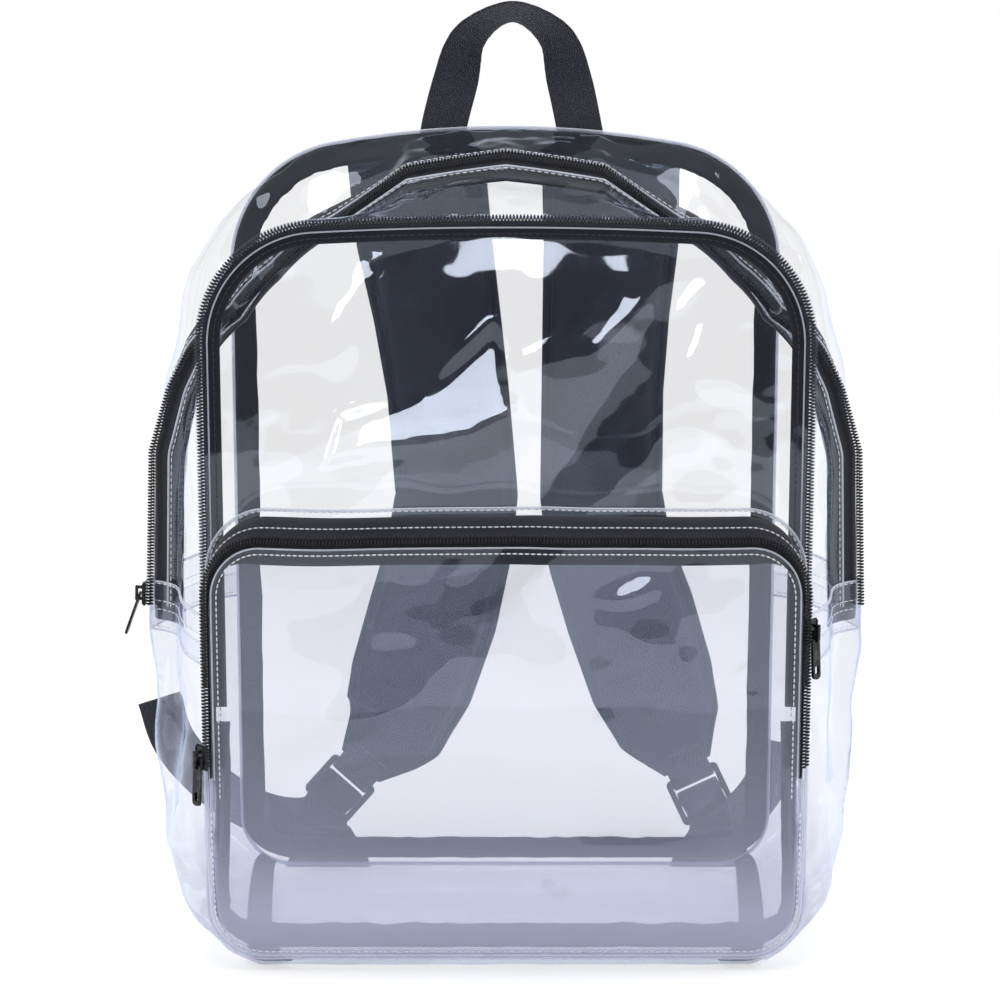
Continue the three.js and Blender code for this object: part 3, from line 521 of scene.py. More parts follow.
# Pale whitish colour on the film's cut edges, mixed with see-through film: a painted highlight for the light
# those edges catch.
def cut_edge_highlight_finish():
    f = Finish("cut edge painted highlight")
    facing = f.add("ShaderNodeLayerWeight", None, {"Blend": 0.5}, "Facing")
    grain = f.clouds(300, 2)
    clear = f.add("ShaderNodeBsdfTransparent", None, {"Color": (0.9, 0.92, 0.97, 1)})
    painted_highlight = f.surface(Base_Color=(0.8, 0.83, 0.93, 1), Roughness=0.18, Normal=f.bump(grain, 0.0004, 0.4))
    share = facing * 0.35 + 0.42
    return f.shell(f.add("ShaderNodeMixShader", None, {0: share, 1: clear, 2: painted_highlight}))


def woven_finish(name, low, high, along, across, depth, rough, sheen=0.15):
    """Woven cloth whose threads follow the piece's own chart, its colour darker in the gaps between threads
    as painted shade.
    """
    f = Finish(name)
    threads = f.cloth_threads(along, across)
    patches = f.clouds(26, 4)
    fuzz = f.clouds(1900, 2)
    # Colour: the threads term darkens the gaps between threads, a painted shade; patches and fuzz are random
    # tone.
    colour = f.blend(threads * 0.45 + patches * 0.4 + fuzz * 0.15, low, high)
    normal = f.bump(threads + fuzz * 0.2 + patches * 0.3, depth, 0.9)
    roughness = rough - threads * 0.12 + patches * 0.08
    return f.shell(f.surface(Base_Color=colour, Roughness=roughness, Normal=normal, Sheen_Weight=sheen,
                             Sheen_Roughness=0.45))


def lacquer_finish():
    f = Finish("black slider lacquer")
    wear = f.ramp(f.clouds(160, 5), (0.52, 0.0), (0.72, 1.0))
    colour = f.blend(wear, (0.012, 0.012, 0.014), (0.07, 0.07, 0.075))
    roughness = wear * 0.2 + 0.26
    normal = f.bump(f.clouds(900, 2), 0.0002, 0.4)
    return f.shell(f.surface(Base_Color=colour, Roughness=roughness, Metallic=0.55, Normal=normal))


def moulded_finish():
    f = Finish("moulded black plastic")
    grain = f.clouds(1400, 3)
    colour = f.blend(f.clouds(60, 3), (0.01, 0.01, 0.012), (0.03, 0.03, 0.033))
    roughness = grain * 0.18 + 0.32
    return f.shell(f.surface(Base_Color=colour, Roughness=roughness, Normal=f.bump(grain, 0.0003, 0.5)))


def coil_finish():
    f = Finish("nylon coil")
    colour = f.blend(f.clouds(90, 3), (0.006, 0.006, 0.008), (0.03, 0.03, 0.036))
    roughness = f.clouds(700, 2) * 0.2 + 0.42
    return f.shell(f.surface(Base_Color=colour, Roughness=roughness, Specular_IOR_Level=0.22))


def thread_finish():
    f = Finish("sewing thread")
    twist = f.clouds(2600, 2)
    colour = f.blend(twist, (0.62, 0.63, 0.7), (0.93, 0.93, 0.97))
    return f.shell(f.surface(Base_Color=colour, Roughness=0.5, Normal=f.bump(twist, 0.0002, 0.6)))


CLEAR = film_finish("clear film", (0.996, 0.996, 1.0))
LOWER = film_finish("lower film", (0.945, 0.95, 0.97), haze=0.045, foot_haze=0.16)
POCKET = film_finish("pocket film", (0.82, 0.82, 0.86), haze=0.03, foot_haze=0.5, gloss_floor=0.065)
DARK_THREAD = woven_finish("dark thread", (0.01, 0.01, 0.014), (0.05, 0.05, 0.065), 0.0011, 0.0011,
                           0.0001, 0.6)
EDGE_HIGHLIGHT = cut_edge_highlight_finish()
TAPE = woven_finish("zip tape", (0.003, 0.0035, 0.009), (0.01, 0.012, 0.026), 0.0011, 0.0011, 0.00015, 0.8)
BINDING = woven_finish("seam binding", (0.003, 0.0035, 0.009), (0.01, 0.012, 0.026), 0.0009, 0.003,
                       0.00014, 0.74)
WEBBING = woven_finish("strap webbing", (0.005, 0.0055, 0.01), (0.04, 0.043, 0.066), 0.0026, 0.0017,
                       0.0006, 0.82)
STRAP = woven_finish("strap cloth", (0.007, 0.009, 0.022), (0.015, 0.02, 0.045), 0.0013, 0.0013,
                     0.00012, 0.78, sheen=0.3)
LACQUER = lacquer_finish()
MOULDED = moulded_finish()
COIL = coil_finish()
THREAD = thread_finish()


# Making pieces
def finish_piece(name, bm, material, body, node=None, smooth=True):
    """Puts a mesh into the scene as a piece of its body, in the place of a node if one is named."""
    mesh = bpy.data.meshes.new(name)
    bm.to_mesh(mesh)
    bm.free()
    for face in mesh.polygons:
        face.use_smooth = smooth
    piece = bpy.data.objects.new(name, mesh)
    bpy.context.scene.collection.objects.link(piece)
    mesh.materials.append(material)
    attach(piece, body)
    if node:
        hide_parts(node)
    return piece


def in_frame(point):
    return (point + ORIGIN) * MM


def charted_grid(columns, lines, at):
    """A grid whose vertices `at` moves. It gives each one's point and its place on the chart."""
    bm = bmesh.new()
    chart = bm.loops.layers.uv.new("chart")
    bmesh.ops.create_grid(bm, x_segments=columns, y_segments=lines, size=0.5)
    places = {}
    for vert in bm.verts:
        point, place = at(vert.co.x + 0.5, vert.co.y + 0.5)
        places[vert] = place
        vert.co = in_frame(point)
    for face in bm.faces:
        for loop in face.loops:
            loop[chart].uv = Vector(places[loop.vert]) * MM
    return bm


def face_outwards(bm):
    middle = in_frame(CORE)
    bm.normal_update()
    facing = sum(face.normal.dot(face.calc_center_median() - middle) * face.calc_area() for face in bm.faces)
    if facing < 0:
        bmesh.ops.reverse_faces(bm, faces=bm.faces)
    bm.normal_update()


def rumple(bm, amount, pitch, seed):
    """Small swells along the normals, which die out at the sheet's edges."""
    held = {vert for vert in bm.verts if vert.is_boundary}
    for vert in bm.verts:
        if vert in held:
            continue
        p = vert.co / MM
        swell = noise.noise(p / pitch + Vector((seed, 0, 0)))
        ripple = noise.noise(p / (pitch * 0.37) + Vector((0, seed, 0))) * 0.28
        vert.co += vert.normal * (swell + ripple) * amount * MM
    bm.normal_update()


def film_sheet(name, columns, lines, at, material, swell=0.0, pitch=30.0, seed=0.0, is_node=True):
    """A sheet of film, rumpled a little. Its name is its node's with _sheet added."""
    bm = charted_grid(columns, lines, at)
    bmesh.ops.remove_doubles(bm, verts=bm.verts, dist=0.00002)
    face_outwards(bm)
    if swell:
        rumple(bm, swell, pitch, seed)
    node = name.removesuffix("_sheet") if is_node else None
    return finish_piece(name, bm, material, "body", node)


def panel_point(shape, surface, inset, top_inset):
    """A panel's sheet, its columns closer together towards the sides."""
    def at(u, v):
        t = 2 * u - 1
        x = (shape.half - inset) * mix(t, math.sin(t * math.pi / 2), 0.55)
        reach = x * shape.half / (shape.half - inset)
        foot = shape.foot_at(reach) + inset * 0.2
        z = mix(foot, shape.top_at(reach) - top_inset, v)
        return Vector((x, surface(x, z), z)), (x, z)
    return at


# The camera, at the photograph's height and tilt, and the small softbox in front of the bag
CAMERA_PLACE = Vector((0.0062, -1.1431, 0.412))
CAMERA_TILT = 81.1
SOFTBOX_PLACE = Vector((0.05, -2.75, 0.98))
CAMERA_AT = CAMERA_PLACE / MM - ORIGIN
SOFTBOX_AT = SOFTBOX_PLACE / MM - ORIGIN


def add_camera():
    data = bpy.data.cameras.new("camera")
    data.lens = 76.6
    data.sensor_width = 36
    data.clip_start = 0.05
    camera = bpy.data.objects.new("camera", data)
    camera.location = CAMERA_PLACE
    camera.rotation_euler = (math.radians(CAMERA_TILT), 0, 0)
    bpy.context.scene.collection.objects.link(camera)
    bpy.context.scene.camera = camera


def oval(x, z, wide, tall, tilt):
    """Corners of a slanted oval."""
    corners = []
    for step in range(10):
        a = wide * math.cos(step * math.tau / 10)
        b = tall * math.sin(step * math.tau / 10)
        corners.append((x + a * math.cos(tilt) - b * math.sin(tilt),
                        z + a * math.sin(tilt) + b * math.cos(tilt)))
    return tuple(corners)


# Facets of the film that lean towards the front softbox, each one or more convex shapes of x and z
FRONT_GLARES = (
    (((-88, 268), (-82, 290), (-42, 301), (4, 305), (4, 294), (-16, 280)),
     ((-42, 299), (-32, 288), (3, 296), (1, 322), (-6, 334))),
    (oval(54.4, 338.5, 23, 6.5, 0.7),),
    (oval(-62.8, 369.5, 5.5, 3.2, 0.9),),
    (oval(-51, 362.5, 12, 1.5, 0.75),),
    (oval(-43, 362.5, 13, 1.8, 0.8),),
)
POCKET_GLARES = (
    (oval(63, 208, 15, 8, 0.5),), (oval(72, 146, 3.2, 4.8, 0.3),), (oval(25, 51, 9, 3, -0.8),),
    (oval(-123, 142, 9, 1.4, -0.9),), (oval(111, 160, 10, 1.3, 0.5),), (oval(122, 152, 7, 1.1, -0.7),),
    (oval(118, 165, 6, 0.9, 1.4),),
)


def inside(corners, x, z, feather):
    """1 within a convex shape and 0 outside, softly between."""
    nearest = 1e9
    turn = 0.0
    for (ax, az), (bx, bz) in zip(corners, corners[1:] + corners[:1]):
        turn += ax * bz - bx * az
    for (ax, az), (bx, bz) in zip(corners, corners[1:] + corners[:1]):
        length = math.hypot(bx - ax, bz - az)
        depth = ((bx - ax) * (z - az) - (bz - az) * (x - ax)) / length * (1 if turn > 0 else -1)
        nearest = min(nearest, depth)
    return ease(nearest / feather + 0.5)


def glared(glares, surface):
    """The surface with flat facets that lean towards the front softbox."""
    facets = []
    for shapes in glares:
        corners = [corner for shape in shapes for corner in shape]
        x = sum(corner[0] for corner in corners) / len(corners)
        z = sum(corner[1] for corner in corners) / len(corners)
        y = sum(surface(*corner) for corner in corners) / len(corners)
        at = Vector((x, y, z))
        half = ((CAMERA_AT - at).normalized() + (SOFTBOX_AT - at).normalized()).normalized()
        reach = max(math.hypot(a - x, b - z) for a, b in corners) + 8
        feather = min(7.0, reach * 0.2)
        facets.append((shapes, x, z, y, half.x / -half.y, half.z / -half.y, reach, feather))

    def at(x, z):
        y = surface(x, z)
        for shapes, fx, fz, fy, slope_x, slope_z, reach, feather in facets:
            if math.hypot(x - fx, z - fz) < reach:
                share = max(inside(shape, x, z, feather) for shape in shapes)
                y = mix(y, fy + slope_x * (x - fx) + slope_z * (z - fz), share)
        return y
    return at


def wavy_front(x, z):
    share = front_outline.from_seam(x, z, 40)
    wave = crease(x, z, 3.1, 36, 2.6, 0.55) * 1.5 + crease(x, z, 7.7, 17, 3.2, -0.35) * 0.35
    return front_surface(x, z) - share * wave


def wavy_pocket(x, z):
    share = rim_outline.from_seam(x, z, 35)
    wave = crease(x, z, 12.3, 30, 2.2, -0.5) * 1.3 + crease(x, z, 2.2, 15, 2.6, 0.9) * 0.4
    return pocket_surface(x, z) - share * wave


creased_front = glared(FRONT_GLARES, wavy_front)
creased_pocket = glared(POCKET_GLARES, wavy_pocket)


def creased_back(x, z):
    share = back_outline.from_seam(x, z, 40)
    return back_surface(x, z) + share * (crease(x, z, 21.0, 40, 2.4, 0.4) * 1.6)


def creased_divider(x, z):
    share = front_outline.from_seam(x, z, 40)
    return divider_surface(x, z) + share * crease(x, z, 31.0, 42, 2.0, 0.9) * 1.6


def add_panels():
    side_inset, top_inset = 3.2, 4
    film_sheet("back_panel_sheet", 70, 100, panel_point(back_outline, creased_back, 0, 0), CLEAR, 0.5, seed=4)
    film_sheet("divider_panel_sheet", 64, 88, panel_point(front_outline, creased_divider, 0, 0), CLEAR, 0.5,
               seed=9)
    film_sheet("front_panel_sheet", 130, 160,
               panel_point(front_outline, creased_front, side_inset, top_inset), CLEAR, 0.1, seed=14)
    film_sheet("pocket_panel_sheet", 92, 74,
               panel_point(rim_outline, creased_pocket, side_inset, top_inset), POCKET, 0.25, seed=19)


def strip_point(place_from, place_to, turn_from, turn_to):
    """A strip of the gusset between two turns, each of them a number or a function of the place."""
    def at(u, v):
        place = mix(place_from, place_to, u)
        start = turn_from(place) if callable(turn_from) else turn_from
        end = turn_to(place) if callable(turn_to) else turn_to
        turn = mix(start, end, v)
        return gusset_point(place, turn), (place * 180, turn * 50)
    return at


def bottom_place(turn):
    """The seam between the bottom and a side: round the corner at the back, under it at the front."""
    return BOTTOM_PLACE + 0.3 * (1 - turn / math.pi) - 0.08


def add_gussets():
    def rear_slit(place):
        return gusset_turn(place, -SLIT)

    def front_slit(place):
        return gusset_turn(place, SLIT)

    film_sheet("bottom_panel_sheet", 90, 36, strip_point(-BOTTOM_PLACE, BOTTOM_PLACE, 0, math.pi), LOWER,
               0.5, seed=2)
    side_top = ZIP_PLACE - 0.002
    sides = (("right", BOTTOM_PLACE, side_top, 5), ("left", 10 - side_top, 10 - BOTTOM_PLACE, 6))
    for name, near, far, seed in sides:
        film_sheet(f"side_gusset_{name}_sheet", 60, 44, strip_point(near, far, 0, math.pi), LOWER, 3.2, 34,
                   seed)
    ends = (ZIP_PLACE, 10 - ZIP_PLACE)
    film_sheet("upper_gusset_rear_sheet", 230, 20, strip_point(*ends, 0, rear_slit), CLEAR, 2.4, 27, 7)
    film_sheet("upper_gusset_front_sheet", 230, 16, strip_point(*ends, front_slit, math.pi), CLEAR, 1.9, 24,
               8)

    def front_strip(u, v):
        place = mix(2.1, 7.9, u)
        x, z, _ = front_outline.at(place)
        zipped = ease((min(place, 10 - place) - FRONT_ZIP_PLACE + 0.5) / 0.5)
        y = mix(divider_y(z) - LAYER, FRONT_Y + LAYER + 2.6 * zipped, v)
        return Vector((x, y, z)), (place * 180, y)
    film_sheet("front_gusset_sheet", 220, 8, front_strip, CLEAR, 0.4, 20, 3)

    for name, side in (("right", 1), ("left", -1)):
        def pocket_strip(u, v, side=side):
            place = mix(1.6, POCKET_ZIP_PLACE - 0.05, u) * side
            return pocket_seam(place).lerp(pocket_rim(place), v), (place * 100, v * 12)
        film_sheet(f"pocket_gusset_{name}_sheet", 40, 6, pocket_strip, POCKET, 0.2, 16)


def flat_ribbon(name, columns, lines, at, thickness, material, node):
    bm = charted_grid(columns, lines, at)
    bmesh.ops.remove_doubles(bm, verts=bm.verts, dist=0.00002)
    face_outwards(bm)
    piece = finish_piece(name, bm, material, "body", node)
    wall = piece.modifiers.new("wall", "SOLIDIFY")
    wall.thickness = thickness * MM
    wall.offset = 0


def march(curve, start, end, pitch, fine=900):
    """Places at an even distance along a curve, and its whole length."""
    places = [mix(start, end, i / fine) for i in range(fine + 1)]
    points = [curve(place) for place in places]
    runs = [0.0]
    for a, b in zip(points, points[1:]):
        runs.append(runs[-1] + (b - a).length)
    count = max(2, int(runs[-1] / pitch))
    found, step = [], 0
    for k in range(count + 1):
        target = runs[-1] * k / count
        while step < fine - 1 and runs[step + 1] < target:
            step += 1
        share = (target - runs[step]) / max(1e-9, runs[step + 1] - runs[step])
        found.append(mix(places[step], places[step + 1], clamp(share)))
    return found, runs[-1]


# Seam binding, a little wavy where it is sewn
def binding_wave(place, seed):
    slow = noise.noise(Vector((place * 9, seed, 0.0)))
    quick = noise.noise(Vector((place * 23, seed, 4.0)))
    return slow * 1.1 + quick * 0.5


def binding_point(shape, surface, behind, start, end, seed, side_inset, side_width):
    """Tape of the binding's width along the foot, and of its own inset and width up the sides."""
    def at(u, v):
        place = mix(start, end, u)
        up = ease((min(place % 10, 10 - place % 10) - 1.2) / 0.7)
        inset = mix(BINDING_SETBACK, side_inset, up)
        width = mix(BINDING_WIDTH, side_width, up)
        wave = binding_wave(place, seed) * math.sin(math.pi * clamp(v * 0.7 + 0.3))
        x, z, _ = shape.at(place, inset + v * (width + binding_wave(place, seed + 2)) + wave * 0.4)
        lift = behind + 0.7 * wave * (1 if behind > 0 else -1) * v
        return Vector((x, surface(x, z) + lift, z)), (place * 180, v * BINDING_WIDTH)
    return at


def add_bindings():
    behind = FILM / 2 + DRAPE + BINDING_THICKNESS / 2 + 0.3
    cloth = BINDING_THICKNESS * 0.7
    flat_ribbon("back_binding_tape", 420, 5,
                binding_point(back_outline, creased_back, -behind, 0, 10, 1.0, -0.5, 12.5),
                cloth, BINDING, "back_binding")
    reach = FRONT_ZIP_PLACE - 0.05
    flat_ribbon("front_binding_tape", 200, 5,
                binding_point(front_outline, creased_divider, behind, -reach, reach, 5.0, 0.8, 8.0),
                cloth, BINDING, "front_binding")
    for name, side in (("right", 1), ("left", -1)):
        def bottom_tape(u, v, side=side):
            turn = mix(0.09, math.pi - 0.12, u)
            run = bottom_place(turn) - v * (0.14 + 5 / (PANEL_WIDTH / 2 - FOOT_RADIUS))
            frame_at = gusset_point(side * run, turn)
            frame_at.z += 2.3
            return frame_at, (turn * 50, v * BINDING_WIDTH)
        flat_ribbon(f"bottom_binding_{name}_tape", 40, 4, bottom_tape, 1.0, BINDING, f"bottom_binding_{name}")


def add_zip_tapes():
    tail = TAPE_TAIL / (back_outline.shoulder_z - back_outline.foot_z)
    depth = -(FILM / 2 + DRAPE + TAPE_THICKNESS / 2)

    def main_tape(u, v):
        place = mix(ZIP_PLACE - tail, 10 - ZIP_PLACE + tail, u)
        distance = mix(-LEAF, LEAF + FRONT_LEAF_EXTRA, v)
        at, _, _, _ = gusset_frame(place, depth, distance)
        return at, (place * 180, distance)
    flat_ribbon("main_zip_tape_cloth", 330, 8, main_tape, TAPE_CLOTH, TAPE, "main_zip_tape")

    def rim_tape(rim, start, end, rear, side_leaf, top_leaf):
        def at(u, v):
            place = mix(start, end, u)
            edge, _ = rim_edge(*rim, place)
            if v <= 0.5:
                point = (edge + rear(place)).lerp(edge, v * 2)
            else:
                leaf = mix(side_leaf, top_leaf, ease((min(place, 10 - place) - 3.2) / 0.8))
                point = edge.lerp(rim_face(*rim, place, leaf), v * 2 - 1)
            return point, (place * 170, v * TAPE_WIDTH)
        return at
    flat_ribbon("front_zip_tape_cloth", 260, 8,
                rim_tape(FRONT_RIM, FRONT_ZIP_PLACE, 10 - FRONT_ZIP_PLACE,
                         lambda place: Vector((0, LEAF - FILM, 0)), 8.5, 8.5),
                TAPE_CLOTH, TAPE, "front_zip_tape")
    flat_ribbon("pocket_zip_tape_cloth", 240, 8,
                rim_tape(POCKET_RIM, POCKET_ZIP_PLACE, 10 - POCKET_ZIP_PLACE,
                         lambda place: (pocket_seam(place) - pocket_rim(place)) * 0.9, 3.5, 11.5),
                TAPE_CLOTH, TAPE, "pocket_zip_tape")


def join(bm, part):
    mesh = bpy.data.meshes.new("part")
    part.to_mesh(mesh)
    part.free()
    bm.from_mesh(mesh)
    bpy.data.meshes.remove(mesh)


def repeat(bm, seats, make, batch=40):
    """Many small shapes, made a batch at a time."""
    for start in range(0, len(seats), batch):
        part = bmesh.new()
        for seat in seats[start:start + batch]:
            make(part, seat)
        join(bm, part)


def coil_teeth(name, node, frame_at, start, end):
    """Interlocked turns of nylon, each a flattened bead that reaches over the middle."""
    places, _ = march(lambda place: frame_at(place)[0], start, end, COIL_PITCH)
    seats = []
    for index, place in enumerate(places):
        at, along, side, up = frame_at(place)
        way = 1 if index % 2 else -1
        centre = in_frame(at + side * way * TOOTH_REACH + up * COIL_HEIGHT * 0.4)
        turn = Matrix((side, along, up)).transposed().to_4x4()
        size = Matrix.Diagonal((COIL_WIDTH * 0.28 * MM, 0.66 * MM, COIL_HEIGHT * 0.42 * MM, 1))
        seats.append(Matrix.Translation(centre) @ turn @ size)
    bm = bmesh.new()
    repeat(bm, seats, lambda part, seat: bmesh.ops.create_uvsphere(
        part, u_segments=6, v_segments=4, radius=1, matrix=seat))
    finish_piece(name, bm, COIL, "body", node)


def main_coil_frame(place):
    return gusset_frame(place, -FILM / 2)


def front_coil_frame(place):
    return rim_coil(*FRONT_RIM, place)


def pocket_coil_frame(place):
    return rim_coil(*POCKET_RIM, place)


def add_coils():
    coil_teeth("main_zip_teeth", "main_zip_coil", main_coil_frame, ZIP_PLACE, 10 - ZIP_PLACE)
    coil_teeth("front_zip_teeth", "front_zip_coil", front_coil_frame, FRONT_ZIP_PLACE + 0.04,
               9.96 - FRONT_ZIP_PLACE)
    coil_teeth("pocket_zip_teeth", "pocket_zip_coil", pocket_coil_frame, POCKET_ZIP_PLACE + 0.04,
               9.96 - POCKET_ZIP_PLACE)


# Stitching
def sew(bm, curve, start, end, pitch=STITCH, thread=THREAD_WIDTH):
    """A row of stitches, each a slim bead a little shorter than its pitch."""
    places, _ = march(curve, start, end, pitch, 400)
    points = [curve(place) for place in places]
    seats = []
    for first, last in zip(points, points[1:]):
        run = last - first
        turn = run.to_track_quat("X", "Z").to_matrix().to_4x4()
        size = Matrix.Diagonal((run.length * 0.46 * MM, thread * MM, thread * MM, 1))
        seats.append(Matrix.Translation(in_frame(first.lerp(last, 0.5))) @ turn @ size)
    repeat(bm, seats, lambda part, seat: bmesh.ops.create_icosphere(
        part, subdivisions=1, radius=1, matrix=seat))


def add_chart(bm):
    """A plain chart for threads, which are too fine to need their own."""
    chart = bm.loops.layers.uv.new("chart")
    for face in bm.faces:
        for loop in face.loops:
            loop[chart].uv = (loop.vert.co.x, loop.vert.co.z)


def gusset_line(distance, height=FILM * 0.6):
    return lambda place: gusset_frame(place, height, distance)[0]


def side_line(z_shift, side):
    place = average_side(MAIN_ZIP_END + z_shift)

    def at(turn):
        p = gusset_point(place, turn)
        return Vector(((p.x + 0.9) * side, p.y, p.z))
    return at


def rim_line(shape, surface, inset, forward):
    def at(place):
        x, z, _ = shape.at(place, inset)
        return Vector((x, surface(x, z) - forward, z))
    return at


def leaf_line(place):
    """Along the pocket zip's rear leaf, just behind the coil."""
    _, _, out = rim_outline.at(place)
    return pocket_rim(place).lerp(pocket_seam(place), 0.42) + out * 1.5


def add_stitching():
    bm = bmesh.new()
    for distance in (-8.2, 8.2):
        sew(bm, gusset_line(distance), ZIP_PLACE, 10 - ZIP_PLACE, WIDE_STITCH)
    for side in (1, -1):
        for shift in (-12, -2, 3, 13):
            sew(bm, side_line(shift, side), 0.12, math.pi - 0.12, WIDE_STITCH)
    finish_piece("gusset_stitches", bm, THREAD, "body")
    bm = bmesh.new()
    sew(bm, rim_line(front_outline, front_surface, 7.5, 0.9), FRONT_ZIP_PLACE - 0.1, 10.1 - FRONT_ZIP_PLACE,
        thread=0.2)
    add_chart(bm)
    finish_piece("front_zip_stitches", bm, DARK_THREAD, "body")
    bm = bmesh.new()
    sew(bm, rim_line(front_outline, front_surface, 2.2, 0.9), -FRONT_ZIP_PLACE + 0.1, FRONT_ZIP_PLACE - 0.1)
    finish_piece("front_stitches", bm, THREAD, "body")
    bm = bmesh.new()
    sew(bm, rim_line(rim_outline, pocket_surface, 7.2, 1.2), POCKET_ZIP_PLACE - 0.06,
        10.06 - POCKET_ZIP_PLACE, CLOSE_STITCH, 0.4)
    sew(bm, leaf_line, 3.0, 7.0, CLOSE_STITCH, 0.36)
    sew(bm, rim_line(pocket_outline, front_surface, -1.5, 1.2), POCKET_ZIP_PLACE, 10 - POCKET_ZIP_PLACE)
    sew(bm, rim_line(rim_outline, pocket_surface, 2.6, 1.2), -POCKET_ZIP_PLACE + 0.1, POCKET_ZIP_PLACE - 0.1)
    finish_piece("pocket_stitches", bm, THREAD, "body")


# Closed bands swept along a path: webbing, padded straps and the beads along the film's cut edges, whose pale
# colour is a painted highlight
def flat_section(v):
    angle = v * math.tau
    c, s = math.cos(angle), math.sin(angle)
    return 0.5 * math.copysign(abs(c) ** 0.22, c), 0.5 * math.copysign(abs(s) ** 0.7, s)


def round_section(v):
    angle = v * math.tau
    return 0.5 * math.cos(angle), 0.5 * math.sin(angle)


def padded_section(v):
    """A pad pinched flat towards its two bound edges."""
    upper = v < 0.5
    t = (v * 2) % 1.0
    a = 0.5 * math.cos(t * math.pi) * (1 if upper else -1)
    reach = abs(a) / 0.5
    crown = math.sqrt(max(0.0, 1 - (reach / 0.86) ** 5)) if reach < 0.86 else 0.0
    bound = 0.13 * (1 - max(0.0, (reach - 0.93) / 0.07) ** 2)
    groove = 0.05 * math.exp(-((reach - 0.84) / 0.025) ** 2)
    b = max(bound, 0.5 * crown) - groove
    return a, max(0.02, b) * (1 if upper else -1)


def band(name, frame_at, length, steps, around, section, material, node=None, closed=False):
    def at(u, v):
        point, side, up, wide, thick = frame_at(u)
        a, b = section(v % 1.0)
        return point + side * (a * wide) + up * (b * thick), (u * length, a * wide)
    bm = charted_grid(steps, around, at)
    bmesh.ops.remove_doubles(bm, verts=bm.verts, dist=0.00001)
    if not closed:
        edges = [edge for edge in bm.edges if edge.is_boundary]
        bmesh.ops.holes_fill(bm, edges=edges, sides=0)
    bmesh.ops.recalc_face_normals(bm, faces=bm.faces)
    return finish_piece(name, bm, material, "body", node)


# Beads along the film's edges, coloured with the painted edge highlight.
def highlight_bead(name, curve, start, end, width, height, steps, closed=False):
    def frame_at(u):
        point, side, up = curve(mix(start, end, u))
        return point, side, up, width, height
    band(name, frame_at, 1000, steps, 6, round_section, EDGE_HIGHLIGHT, closed=closed)


def add_edge_beads():
    def seam(shape, surface, inset, forward):
        def at(place):
            x, z, out = shape.at(place, inset)
            return Vector((x, surface(x, z) + forward, z)), out, Vector((0, 1, 0))
        return at
    highlight_bead("back_seam_bead", seam(back_outline, back_surface, -1.5, 0.2), 0, 10, 2.2, 1.1, 420, True)
    highlight_bead("front_seam_bead", seam(front_outline, front_surface, -1.0, 0), -FRONT_ZIP_PLACE,
              FRONT_ZIP_PLACE, 1.8, 1.0, 180)
    highlight_bead("front_zip_inner_bead", seam(front_outline, front_surface, 4.4, -0.5), FRONT_ZIP_PLACE,
              10 - FRONT_ZIP_PLACE, 0.8, 0.6, 300)
    highlight_bead("pocket_rim_bead", seam(rim_outline, pocket_surface, 0.6, -0.2), -POCKET_ZIP_PLACE,
              POCKET_ZIP_PLACE, 1.6, 0.9, 180)
    highlight_bead("pocket_zip_inner_bead", seam(rim_outline, pocket_surface, 4.4, -0.5), POCKET_ZIP_PLACE,
              10 - POCKET_ZIP_PLACE, 0.9, 0.6, 260)
    highlight_bead("pocket_seam_bead", seam(pocket_outline, front_surface, -2.6, -2.2), 2.0, 8.0, 1.4, 0.9, 260)

    def zip_edge(distance):
        def at(place):
            point, _, side, up = gusset_frame(place, 0.1, distance)
            return point, side, up
        return at
    for name, distance in (("rear_zip_bead", -SLIT), ("front_zip_bead", SLIT)):
        highlight_bead(name, zip_edge(distance), ZIP_PLACE, 10 - ZIP_PLACE, 1.5, 0.9, 340)
    for name, side in (("right", 1), ("left", -1)):
        for index, shift in enumerate((-14, 14)):
            place = average_side(MAIN_ZIP_END + shift)

            def at(turn, place=place, side=side):
                p = gusset_point(place, turn)
                return Vector(((p.x + 0.6) * side, p.y, p.z)), Vector((0, 0, 1)), Vector((side, 0, 0))
            highlight_bead(f"side_lap_bead_{name}_{index + 1}", at, 0.05, math.pi - 0.05, 1.3, 0.9, 60)


def add_laps():
    """The strips of film that overlap: the lip outside the front seam and the laps across the sides."""
    def lip(shape, surface, inner, outer, forward):
        def at(u, v):
            x, z, _ = shape.at(u * 10, mix(inner, outer, v))
            return Vector((x, surface(x, z) + forward, z)), (u * 1800, v * 8)
        return at
    for name, shape, surface, inner, outer, forward in (
            ("front_seam_lip", front_outline, front_surface, 3.4, -2.2, -0.4),
            ("back_seam_lip", back_outline, back_surface, 0, -2.4, 0.4)):
        film_sheet(name, 360, 3, lip(shape, surface, inner, outer, forward), LOWER, is_node=False)
    for name, side in (("right", 1), ("left", -1)):
        def lap(u, v, side=side):
            place = average_side(mix(MAIN_ZIP_END - 14, MAIN_ZIP_END + 14, v))
            p = gusset_point(place, mix(0.05, math.pi - 0.05, u))
            return Vector(((p.x + 0.7) * side, p.y, p.z)), (u * 150, v * 28)
        film_sheet(f"side_lap_{name}", 40, 6, lap, LOWER, is_node=False)


